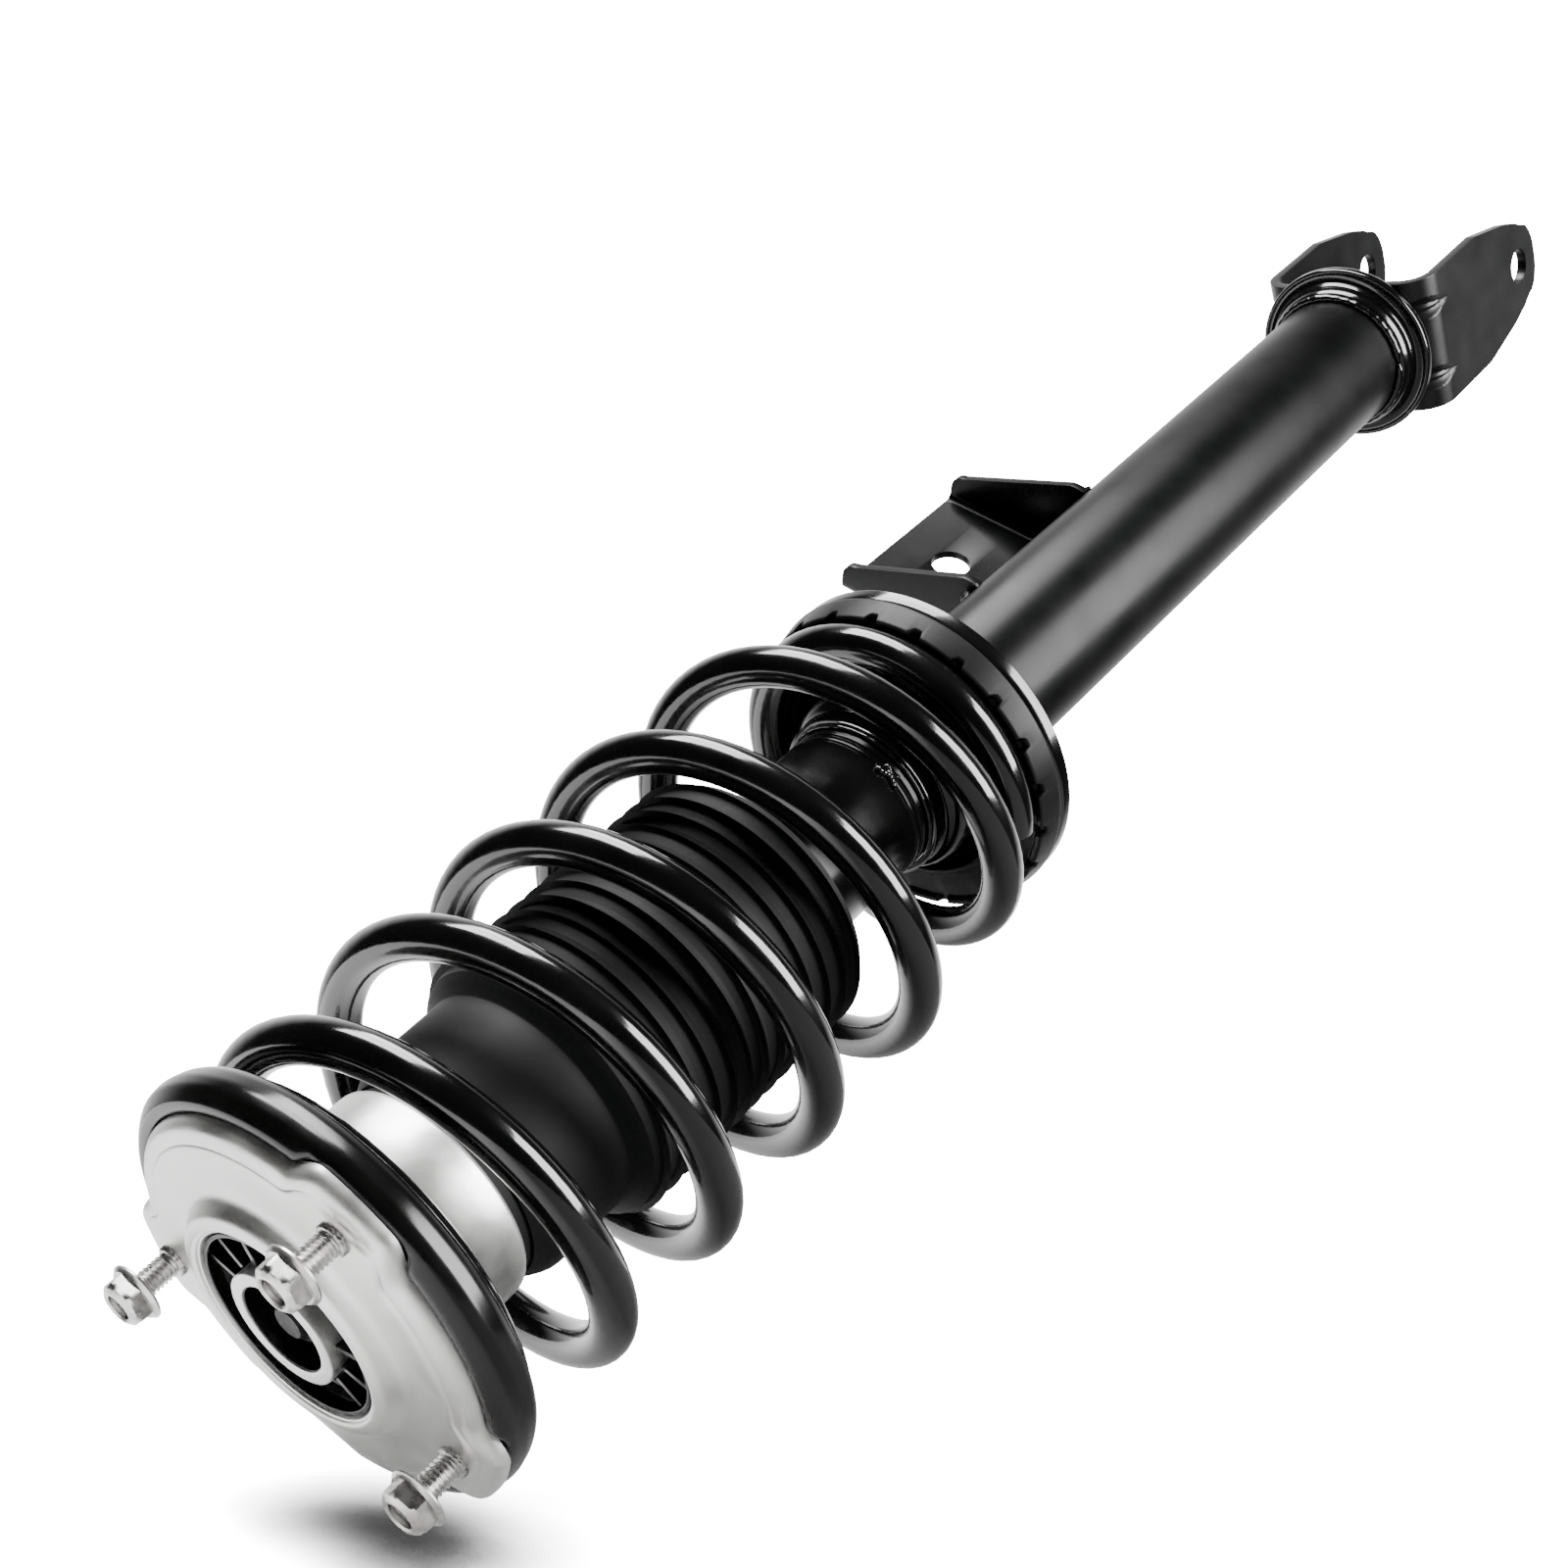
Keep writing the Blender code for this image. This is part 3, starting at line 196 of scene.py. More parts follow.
# Link bracket
BRACKET_ANGLE = math.radians(155.5)
BRACKET_SHEET = 3.0 * MM
BRACKET_REACH = 81.0 * MM
BRACKET_WEB = 16.0 * MM
BRACKET_BEND_R = 4.2 * MM
BRACKET_HOLE_X = 57.0 * MM
BRACKET_HOLE_Z = -396.5 * MM
FLANGE_INNER_END = 29.5 * MM
FLANGE_OUTER_END = 76.0 * MM
FLANGE_WIDEST = -15.5 * MM
FLANGE_NARROWEST = 4.6 * MM
HOLE_R = 7.5 * MM

# Fork
FORK_SHEET = 4.0 * MM
FORK_BEND_R = 11.0 * MM
FORK_HALF_WIDTH = 28.5 * MM
FORK_HOLE_Z = -701.0 * MM
FORK_BASE_HOLE_R = 17.0 * MM
FORK_WIDTH_STEPS = 128
EAR_TIP_MM = 9.0
DART_Y = 15.5 * MM
DART_HALF_LENGTH = 11.0 * MM
DART_HALF_WIDTH = 4.8 * MM
DART_DEPTH = 2.6 * MM
DART_CREASE = 1.1 * MM

# Studio: the photo's camera, and lamps as (right, up, towards the viewer), width, height, power
VIEW_PLACE = Vector((0.46705, 0.36041, 0.20162))
VIEW_RIGHT = Vector((0.74853, -0.27620, -0.60284))
VIEW_DOWN = Vector((0.11794, -0.83917, 0.53092))
VIEW_AHEAD = Vector((-0.65253, -0.46851, -0.59557))
LENS = 51.59
SENSOR_WIDTH = 36.0
LAMP_DISTANCE = 1.4
LAMPS = {
    "overhead_back": ((-0.14, 1.03, -0.05), 1.0, 0.42, 34.0),
    "overhead_front": ((-0.34, 0.85, 0.15), 1.0, 0.40, 34.0),
    "side_back": ((0.98, 0.35, 0.26), 1.1, 0.42, 36.0),
    "side_front": ((0.78, 0.17, 0.46), 1.1, 0.40, 36.0),
}
BACKDROP_LEVEL = 20.0
FLOOR_RADIUS = 0.6
FLOOR_GAP = 1.0 * MM
SHADOW_REACH = 0.04


def smooth_step(t):
    t = min(max(t, 0.0), 1.0)
    return t * t * (3.0 - 2.0 * t)


def smooth_min(a, b, blend):
    low, high = min(a, b), max(a, b)
    return low - blend * math.log(1.0 + math.exp((low - high) / blend))


# ---------------------------------------------------------------- mesh helpers


def new_object(name, data):
    """An object in the scene that holds this mesh, lamp or camera."""
    obj = bpy.data.objects.new(name, data)
    bpy.context.scene.collection.objects.link(obj)
    return obj


def mesh_of_shape(shape):
    """The mesh made from a bmesh, which is freed."""
    mesh = bpy.data.meshes.new("mesh")
    shape.to_mesh(mesh)
    shape.free()
    return mesh


def add_piece(name, mesh, mat, body, replaces=(), sharp=SHARP_ANGLE):
    """Puts the mesh in the scene, shaded smooth but for its sharp edges.

    It rides the body, if one is given, and takes the place of the CAD nodes in replaces.
    """
    mesh.name = name
    obj = new_object(name, mesh)
    mesh.materials.clear()
    mesh.materials.append(mat)
    mesh.shade_smooth()
    mesh.set_sharp_from_angle(angle=sharp)
    if body:
        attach(obj, body)
    if replaces:
        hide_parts(*replaces)
    return obj


def mesh_of_rows(rows, capped=False):
    """A mesh of quads between closed rows of points.

    The last row is joined to the first, or, when capped, each end is closed by a flat face.
    """
    shape = bmesh.new()
    made = [[shape.verts.new(p) for p in row] for row in rows]
    pairs = list(zip(made, made[1:]))
    if not capped:
        pairs.append((made[-1], made[0]))
    for row, following in pairs:
        for i in range(len(row)):
            j = (i + 1) % len(row)
            shape.faces.new((row[i], row[j], following[j], following[i]))
    if capped:
        shape.faces.new(made[0])
        shape.faces.new(made[-1])
    bmesh.ops.remove_doubles(shape, verts=shape.verts, dist=1e-7)
    bmesh.ops.recalc_face_normals(shape, faces=shape.faces)
    return mesh_of_shape(shape)


def points_from(r, z, offsets):
    """Outline points given in millimetres from the point r, z."""
    return [(r + out * MM, z + up * MM) for out, up in offsets]


def rounded(outline, radius, steps=4):
    """The closed outline with each corner replaced by a curve of about this radius."""
    points = []
    count = len(outline)
    for i in range(count):
        here = Vector(outline[i])
        before = Vector(outline[i - 1])
        after = Vector(outline[(i + 1) % count])
        reach_in = min(radius, (before - here).length * 0.45)
        reach_out = min(radius, (after - here).length * 0.45)
        start = here + (before - here).normalized() * reach_in
        end = here + (after - here).normalized() * reach_out
        for k in range(steps + 1):
            t = k / steps
            points.append(tuple(start * (1 - t) ** 2 + here * 2 * t * (1 - t) + end * t * t))
    return points


def sheet_outline(line, thickness):
    """The closed outline of a sheet of this thickness whose middle follows the line of points."""
    sides = ([], [])
    last = len(line) - 1
    for i, point in enumerate(line):
        here = Vector(point)
        way_in = (here - Vector(line[max(i - 1, 0)])).normalized()
        way_out = (Vector(line[min(i + 1, last)]) - here).normalized()
        along = (way_in + way_out).normalized()
        across = Vector((-along.y, along.x))
        lean = max(along.dot(way_in if i else way_out), 0.5)
        sides[0].append(tuple(here + across * (thickness / 2.0 / lean)))
        sides[1].append(tuple(here - across * (thickness / 2.0 / lean)))
    return sides[0] + sides[1][::-1]


def smooth_line(points, steps=6):
    """Points along a smooth curve through the given ones, ends kept."""
    padded = [points[0], *points, points[-1]]
    line = []
    for four in zip(padded, padded[1:], padded[2:], padded[3:]):
        a, b, c, d = (np.array(p, float) for p in four)
        for k in range(steps):
            t = k / steps
            square = (2 * a - 5 * b + 4 * c - d) * t * t
            cube = (3 * b - a - 3 * c + d) * t**3
            line.append(tuple(0.5 * (2 * b + (c - a) * t + square + cube)))
    line.append(tuple(points[-1]))
    return line


def angles_round(sides):
    return [FULL_TURN * k / sides for k in range(sides)]


def ring(radius, z, sides, centre=Vector((0.0, 0.0, 0.0))):
    """A row of points round an upright axis. The radius may be a function of the angle."""
    row = []
    for angle in angles_round(sides):
        r = radius(angle) if callable(radius) else radius
        row.append((centre.x + r * math.cos(angle), centre.y + r * math.sin(angle), z))
    return row


def lathe(section, sides=ROUND):
    """A ring turned about Z from a closed (r, z) outline, which may be a function of the angle."""
    rows = []
    for angle in angles_round(sides):
        outline = section(angle) if callable(section) else section
        rows.append([(r * math.cos(angle), r * math.sin(angle), z) for r, z in outline])
    return mesh_of_rows(rows)


def circle_across(centre, first, second, radius, sides):
    """A circle of points in the plane of two unit vectors."""
    row = []
    for angle in angles_round(sides):
        row.append(centre + (first * math.cos(angle) + second * math.sin(angle)) * radius)
    return row


def tube_along(path, radii, sides):
    """A closed tube along a path of points, with a radius for each."""
    rows = []
    up = None
    for i, (point, radius) in enumerate(zip(path, radii)):
        ahead = path[min(i + 1, len(path) - 1)]
        behind = path[max(i - 1, 0)]
        along = (ahead - behind).normalized()
        if up is None:
            up = along.orthogonal().normalized()
        up = (up - along * up.dot(along)).normalized()
        rows.append(circle_across(point, up, along.cross(up), radius, sides))
    return mesh_of_rows(rows, capped=True)


def cylinder_cutter(radius, start, end, sides=SMALL_ROUND):
    """A closed cylinder from start to end, for a Boolean cut."""
    start, end = Vector(start), Vector(end)
    turn = (end - start).to_track_quat("Z", "Y").to_matrix().to_4x4()
    shape = bmesh.new()
    bmesh.ops.create_cone(
        shape,
        cap_ends=True,
        segments=sides,
        radius1=radius,
        radius2=radius,
        depth=(end - start).length,
        matrix=Matrix.Translation((start + end) / 2.0) @ turn,
    )
    return new_object("cutter", mesh_of_shape(shape))


def cut(mesh, cutters, bevel, operation="DIFFERENCE"):
    """The mesh with each cutter taken from it or joined to it, and its hard edges rounded."""
    obj = new_object("shaping", mesh)
    for cutter in cutters:
        modifier = obj.modifiers.new("cut", "BOOLEAN")
        modifier.operation = operation
        modifier.object = cutter
    modifier = obj.modifiers.new("bevel", "BEVEL")
    modifier.width = bevel
    modifier.segments = 3
    modifier.limit_method = "ANGLE"
    modifier.angle_limit = math.radians(40.0)
    bpy.context.view_layer.update()
    graph = bpy.context.evaluated_depsgraph_get()
    made = bpy.data.meshes.new_from_object(obj.evaluated_get(graph))
    for used in (obj, *cutters):
        bpy.data.objects.remove(used, do_unlink=True)
    return made


# ---------------------------------------------------------------- materials


def new_material(name):
    mat = bpy.data.materials.new(name)
    mat.use_nodes = True
    return mat, mat.node_tree, mat.node_tree.nodes["Principled BSDF"]


def give(tree, node, inputs):
    """Gives each named input of a node its value, or a link where the value is a socket."""
    for name, value in inputs.items():
        if isinstance(value, bpy.types.NodeSocket):
            tree.links.new(value, node.inputs[name])
        else:
            node.inputs[name].default_value = value


def add_node(tree, kind, inputs, output=0, **settings):
    """Adds a shader node with these settings and inputs, and returns one of its outputs."""
    node = tree.nodes.new(f"ShaderNode{kind}")
    for name, value in settings.items():
        setattr(node, name, value)
    give(tree, node, inputs)
    return node.outputs[output]


def object_place(tree):
    return add_node(tree, "TexCoord", {}, "Object")


def noise_texture(tree, scale, detail=4.0, stretch=None):
    """Noise of this many grains a metre, as a factor."""
    place = object_place(tree)
    if stretch:
        place = add_node(tree, "Mapping", {"Vector": place, "Scale": stretch})
    return add_node(tree, "TexNoise", {"Vector": place, "Scale": scale, "Detail": detail})


def spread(tree, factor, low, high, start=0.3, end=0.7):
    """The factor taken from the range start..end to low..high."""
    inputs = {"Value": factor, "From Min": start, "From Max": end, "To Min": low, "To Max": high}
    return add_node(tree, "MapRange", inputs)


def blend_colours(tree, factor, first, second):
    """A colour between two given ones, as the factor says."""
    inputs = {0: factor, 6: (*first, 1.0), 7: (*second, 1.0)}
    return add_node(tree, "Mix", inputs, 2, data_type="RGBA")


def dress(tree, shader, colour, rough, bumps):
    """Gives the shader its colour, its roughness and its bumps.

    Each bump is (height factor, strength, distance in metres).
    """
    give(tree, shader, {"Base Color": colour, "Roughness": rough})
    normal = None
    for height, strength, distance in bumps:
        inputs = {"Height": height, "Strength": strength, "Distance": distance}
        if normal is not None:
            inputs["Normal"] = normal
        normal = add_node(tree, "Bump", inputs)
    give(tree, shader, {"Normal": normal})


def black_paint(name, low_rough, high_rough, coat=0.0, specular=0.5, satin_below=None):
    """Black paint: slight orange peel, uneven gloss, faint dust in patches.

    Below the height satin_below, where one is given, it is duller.
    """
    mat, tree, shader = new_material(name)
    dust = spread(tree, noise_texture(tree, 30.0, 6.0), 0.0, 1.0, 0.45, 0.75)
    colour = blend_colours(tree, dust, (0.0010, 0.0010, 0.0011), (0.0034, 0.0034, 0.0034))
    rough = spread(tree, noise_texture(tree, 55.0), low_rough, high_rough)
    if satin_below is not None:
        height = add_node(tree, "SeparateXYZ", {0: object_place(tree)}, "Z")
        satin = spread(tree, height, 0.16, 0.0, satin_below - 4.0 * MM, satin_below)
        rough = add_node(tree, "Math", {0: rough, 1: satin})
    coating = {"Coat Weight": coat, "Coat Roughness": 0.05, "Specular IOR Level": specular}
    give(tree, shader, coating)
    peel = (noise_texture(tree, 420.0, 2.0), 0.08, 0.03 * MM)
    waves = (noise_texture(tree, 60.0, 1.0), 0.12, 0.2 * MM)
    dress(tree, shader, colour, rough, [peel, waves])
    return mat


def satin_steel(name):
    """Pressed, tumbled and zinc-coated sheet: pale, satin, finely grained."""
    mat, tree, shader = new_material(name)
    cloud = noise_texture(tree, 45.0, 6.0)
    colour = blend_colours(tree, cloud, (0.56, 0.56, 0.55), (0.86, 0.86, 0.845))
    give(tree, shader, {"Metallic": 0.92})
    rough = spread(tree, noise_texture(tree, 90.0), 0.30, 0.44)
    grain = (noise_texture(tree, 1500.0, 3.0), 0.35, 0.05 * MM)
    dints = (noise_texture(tree, 90.0, 3.0), 0.50, 0.30 * MM)
    dress(tree, shader, colour, rough, [grain, dints])
    return mat


def zinc(name):
    """Bright zinc plate: mottled, with small dings that catch the light."""
    mat, tree, shader = new_material(name)
    mottle = spread(tree, noise_texture(tree, 260.0), 0.0, 1.0)
    colour = blend_colours(tree, mottle, (0.46, 0.45, 0.44), (0.70, 0.69, 0.67))
    give(tree, shader, {"Metallic": 1.0})
    rough = spread(tree, noise_texture(tree, 200.0), 0.24, 0.34)
    dings = (noise_texture(tree, 300.0, 2.0), 0.06, 0.05 * MM)
    dress(tree, shader, colour, rough, [dings])
    return mat


def rubber(name, dark, pale, low_rough, high_rough, grain, specular):
    """Moulded rubber: near black, faintly bloomed, with a fine grain."""
    mat, tree, shader = new_material(name)
    bloom = spread(tree, noise_texture(tree, 28.0, 5.0), 0.0, 1.0)
    colour = blend_colours(tree, bloom, (dark,) * 3, (pale,) * 3)
    rough = spread(tree, noise_texture(tree, 70.0), low_rough, high_rough)
    give(tree, shader, {"Specular IOR Level": specular})
    fine = (noise_texture(tree, 1100.0, 2.0), grain, 0.06 * MM)
    dress(tree, shader, colour, rough, [fine, (bloom, 0.05, 0.3 * MM)])
    return mat


def foam(name):
    """Yellowish foam with open cells."""
    mat, tree, shader = new_material(name)
    cells = add_node(tree, "TexVoronoi", {"Vector": object_place(tree), "Scale": 900.0})
    cloud = noise_texture(tree, 40.0)
    colour = blend_colours(tree, cloud, (0.70, 0.65, 0.42), (0.86, 0.82, 0.62))
    dress(tree, shader, colour, 0.85, [(cells, 0.5, 0.4 * MM)])
    return mat


def bare_metal(name, dark, pale, low_rough, high_rough, grain_scale, stretch=None):
    """Bare metal, told apart by its greys, its gloss and the scale and run of its grain."""
    mat, tree, shader = new_material(name)
    grain = noise_texture(tree, grain_scale, 4.0, stretch)
    give(tree, shader, {"Metallic": 1.0})
    rough = spread(tree, grain, low_rough, high_rough)
    dress(tree, shader, blend_colours(tree, grain, dark, pale), rough, [(grain, 0.15, 0.05 * MM)])
    return mat


def plastic(name):
    """Dark green filled plastic with flecks."""
    mat, tree, shader = new_material(name)
    fleck = noise_texture(tree, 600.0)
    colour = blend_colours(tree, fleck, (0.07, 0.17, 0.12), (0.13, 0.27, 0.20))
    dress(tree, shader, colour, 0.5, [(fleck, 0.1, 0.05 * MM)])
    return mat


PAINT = black_paint("spring_paint", 0.12, 0.20, coat=0.5)
TUBE_PAINT = black_paint("tube_paint", 0.15, 0.22, specular=0.16, satin_below=SEAT_BOTTOM)
FORK_PAINT = black_paint("fork_paint", 0.30, 0.38, specular=0.38)
BRACKET_PAINT = black_paint("bracket_paint", 0.26, 0.34, specular=0.14)
STEEL = satin_steel("satin_plate_steel")
ZINC = zinc("zinc_plated_steel")
BOOT_RUBBER = rubber("boot_rubber_satin", 0.0038, 0.0066, 0.55, 0.62, grain=0.10, specular=0.16)
BLACK_RUBBER = rubber("moulded_rubber", 0.0010, 0.0028, 0.16, 0.24, grain=0.06, specular=0.40)
PAD_RUBBER = rubber("pad_rubber", 0.0030, 0.0060, 0.36, 0.46, grain=0.12, specular=0.18)
# Near-black steel for the rod's end and its nut, deep in the bush's cup, keeps them dark there.
NEAR_BLACK_STEEL = bare_metal("near_black_steel", (0.006,) * 3, (0.015,) * 3, 0.4, 0.5, 500.0)
FOAM = foam("cell_foam")
CHROME = bare_metal(
    "hard_chrome_plate", (0.68, 0.68, 0.70), (0.80, 0.80, 0.82), 0.05, 0.12, 300.0, (1.0, 1.0, 0.1)
)
SINTERED = bare_metal(
    "sintered_metal", (0.24, 0.24, 0.25), (0.40, 0.40, 0.41), 0.4, 0.6, 1800.0
)
SHIM = bare_metal(
    "rolled_shim_steel", (0.44, 0.44, 0.46), (0.60, 0.60, 0.62), 0.2, 0.35, 400.0
)
PLASTIC = plastic("filled_plastic")
SLOT_MATERIALS = {
    "satin_steel": STEEL,
    "zinc_plate": ZINC,
    "gloss_black_paint": TUBE_PAINT,
    "boot_rubber": BOOT_RUBBER,
    "black_rubber": BLACK_RUBBER,
    "buffer_foam": FOAM,
    "hard_chrome": CHROME,
    "sintered_iron": SINTERED,
    "shim_steel": SHIM,
    "low_friction_plastic": PLASTIC,
}


def finish_cad_nodes():
    """Gives each CAD node that stays shown the procedural finish of its slot."""
    for part in frame["record"]["subparts"]:
        obj = frame["nodes"][part["node"]]
        obj.data.materials.clear()
        obj.data.materials.append(SLOT_MATERIALS[part["material_slot"]])


# ---------------------------------------------------------------- top mount


def plate_edge(angle):
    """Radius of the mounting plate's outline: a circle with a lobe at each stud and a flat side."""
    radius = PLATE_R
    from_flat = math.remainder(angle - FLAT_SIDE_ANGLE, FULL_TURN)
    if abs(from_flat) < math.pi / 3.0:
        radius = min(radius, FLAT_SIDE_DISTANCE / math.cos(from_flat))
    for lobe in LOBE_ANGLES:
        off = abs(math.remainder(angle - lobe, FULL_TURN))
        rise = 1.0 - smooth_step((off - LOBE_HALF_ANGLE) / LOBE_BLEND_ANGLE)
        radius += (LOBE_R - PLATE_R) * rise
    return radius


def plate_section(angle):
    """Section of the pressing: hub bore, raised rim, flat, and the skirt down to the edge."""
    half = PLATE_SHEET / 2.0
    edge = plate_edge(angle) - half
    crown = HUB_TOP - half
    line = [
        (HUB_BORE_R + half, CAN_BOTTOM),
        (HUB_BORE_R + half, HUB_TOP - 4.0 * MM),
        (HUB_BORE_R + 2.2 * MM, crown - 0.5 * MM),
        *points_from(HUB_RIM_R, crown, [(-2.6, 0.0), (-0.4, -0.5), (0.9, -2.2), (2.6, -4.2)]),
        (HUB_RIM_R + 5.2 * MM, -half + 0.5 * MM),
        (HUB_FOOT_R + 2.5 * MM, -half),
        *points_from(edge, -half, [(-7.4, 0.0), (-5.6, -0.7), (-3.6, -0.9), (-1.5, -1.7)]),
        (edge - 0.3 * MM, -half - 3.2 * MM),
        (edge, SKIRT_BOTTOM),
    ]
    return sheet_outline(smooth_line(line, 4), PLATE_SHEET)


def make_plate():
    mesh = lathe(plate_section, FINE_ROUND)
    add_piece("plate_pressing", mesh, STEEL, TOP, ["upper_mount_plate"])


def knurl_radius(angle):
    return KNURL_R + KNURL_DEPTH * math.cos(KNURL_COUNT * angle)


def thread_radius(angle, z, top):
    """Radius of the rolled thread, which runs in above the collar and ends in a point at the top."""
    turn = z / THREAD_PITCH - angle / FULL_TURN
    crest = 0.5 + 0.5 * math.cos(FULL_TURN * turn)
    thread = THREAD_R - 0.5 * THREAD_PITCH * (1.0 - crest)
    start = min(1.0, (z - KNURL_TOP) / (1.2 * MM))
    point = max(0.0, z - top + 1.0 * MM) * 0.9
    return min(THREAD_R * 0.93 * (1.0 - start) + start * thread, THREAD_R - point)


def make_stud(number):
    """A pressed-in stud: flat head, knurled collar and thread."""
    low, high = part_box(f"stud_{number}")
    centre = (low + high) / 2.0
    head_r = high.x - centre.x
    under_plate = -PLATE_SHEET - 0.3 * MM
    turned = [
        (head_r - 0.4 * MM, low.z),
        (head_r, low.z + 0.4 * MM),
        (head_r, under_plate),
        (THREAD_R, under_plate),
        (THREAD_R, 0.0),
        (knurl_radius, 0.05 * MM),
        (knurl_radius, KNURL_TOP - 0.3 * MM),
        (4.3 * MM, KNURL_TOP),
    ]
    rows = [ring(radius, z, STUD_SIDES, centre) for radius, z in turned]
    for i in range(THREAD_STEPS + 1):
        z = KNURL_TOP + (high.z - KNURL_TOP) * i / THREAD_STEPS
        rows.append(ring(lambda a: thread_radius(a, z, high.z), z, STUD_SIDES, centre))
    mesh = mesh_of_rows(rows, capped=True)
    name = f"threaded_stud_{number}"
    add_piece(name, mesh, ZINC, TOP, [f"stud_{number}"], NEVER_SHARP)


def hexagon_radius(angle, apothem, corner):
    off = math.remainder(angle, math.pi / 3.0)
    return smooth_min(apothem / math.cos(off), corner, 0.06 * MM)


def make_nut(number):
    """A flange nut: washer face, hexagon with chamfered ends, and a round crown about the bore."""
    node = f"nut_{number}"
    low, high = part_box(node)
    centre = (low + high) / 2.0
    flange_r = (high.y - low.y) / 2.0
    hex_bottom = low.z + 2.0 * MM
    flange = [
        (NUT_BORE_R + 0.5 * MM, low.z),
        *points_from(flange_r, low.z, [(-0.5, 0.0), (0.0, 0.35), (0.0, 0.9), (-0.5, 1.3)]),
        (NUT_APOTHEM + 1.3 * MM, hex_bottom),
    ]
    hexagon = [
        (8.3 * MM, hex_bottom + 0.15 * MM),
        *points_from(0.0, high.z - 3.0 * MM, [(8.3, 0.0), (7.7, 0.9), (7.0, 1.7), (6.3, 2.3)]),
    ]
    crown = [
        *points_from(0.0, high.z, [(5.9, -0.5), (5.5, -0.1), (5.2, 0.0)]),
        *points_from(NUT_BORE_R, high.z, [(0.55, 0.0), (0.0, -0.5), (0.0, -3.0)]),
        (NUT_BORE_R, low.z + 1.0 * MM),
    ]

    def chamfered(limit):
        return lambda a: smooth_min(
            hexagon_radius(a, NUT_APOTHEM, NUT_CORNER_R), limit, 0.05 * MM
        )

    outline = [*flange, *((chamfered(limit), z) for limit, z in hexagon), *crown]
    mesh = mesh_of_rows([ring(radius, z, NUT_SIDES, centre) for radius, z in outline])
    add_piece(f"flange_nut_{number}", mesh, ZINC, node, [node])


def make_bush_ring():
    """The bush's outer steel ring, covered in rubber."""
    middle = CAN_R - CAN_WALL / 2.0
    outline = sheet_outline([(middle, CAN_TOP), (middle, CAN_BOTTOM)], CAN_WALL)
    mesh = lathe(rounded(outline, 0.4 * MM))
    add_piece("bush_ring", mesh, BLACK_RUBBER, TOP, ["bush_can"])


def bush_rib(angle, inner, outer, top):
    """A rib across the bush's hollow, narrower at its top, as an object for a Boolean union."""
    length = outer - inner - 0.6 * MM
    middle = (inner + outer) / 2.0
    shape = bmesh.new()
    bmesh.ops.create_cube(shape, size=1.0)
    for vert in shape.verts:
        lean = 0.75 if vert.co.z > 0 else 1.0
        across = vert.co.y * RIB_WIDTH * lean
        up = (top + RIB_BOTTOM) / 2.0 + vert.co.z * (top - RIB_BOTTOM)
        vert.co = (middle + vert.co.x * length, across, up)
    bmesh.ops.rotate(shape, verts=shape.verts, matrix=Matrix.Rotation(angle, 3, "Z"))
    return new_object("rib", mesh_of_shape(shape))


def make_ribbed_bush():
    """The rubber between the ring and the cup: a ring with a hollow top and ribs across it."""
    outer = CAN_R - CAN_WALL - 0.2 * MM
    inner = SLEEVE_R + 0.2 * MM
    low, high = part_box("mount_bush")
    outline = [
        (outer, 1.0 * MM),
        (outer, low.z),
        (inner, low.z),
        (inner, 0.8 * MM),
        *points_from(inner, BUSH_FLOOR, [(1.0, 0.8), (2.4, 0.0)]),
        *points_from(outer, BUSH_FLOOR, [(-2.4, 0.0), (-0.9, 0.8)]),
    ]
    ribs = [bush_rib(angle, inner, outer, high.z) for angle in RIB_ANGLES]
    mesh = cut(lathe(rounded(outline, 0.8 * MM)), ribs, 0.25 * MM, "UNION")
    add_piece("ribbed_bush", mesh, BLACK_RUBBER, TOP, ["mount_bush"])


def make_bush_cup():
    """The bush's inner steel cup, with the rod's hole in its floor."""
    outline = [
        (SLEEVE_R, SLEEVE_TOP),
        (SLEEVE_R, SLEEVE_BOTTOM),
        (BUSH_BORE_R, SLEEVE_BOTTOM),
        (BUSH_BORE_R, BUSH_CUP_FLOOR),
        (BUSH_CUP_R, BUSH_CUP_FLOOR),
        (BUSH_CUP_R, SLEEVE_TOP),
    ]
    mesh = lathe(rounded(outline, 0.5 * MM))
    add_piece("bush_cup", mesh, STEEL, TOP, ["bush_sleeve"])


def make_cup_dark_layer():
    """A thin black layer inside the bush's cup, which keeps the cup's inside dark."""
    outer = BUSH_CUP_R - 0.02 * MM
    inner = BUSH_CUP_R - DARK_LAYER_THICKNESS
    hole_r = 7.0 * MM
    top = SLEEVE_TOP - 0.7 * MM
    bottom = BUSH_CUP_FLOOR + 0.03 * MM
    floor = BUSH_CUP_FLOOR + DARK_LAYER_THICKNESS
    outline = [
        (outer, top),
        (outer, bottom),
        (hole_r, bottom),
        (hole_r, floor),
        (inner, floor),
        (inner, top),
    ]
    mesh = lathe(rounded(outline, 0.1 * MM, 2))
    add_piece("cup_dark_layer", mesh, BLACK_RUBBER, TOP)


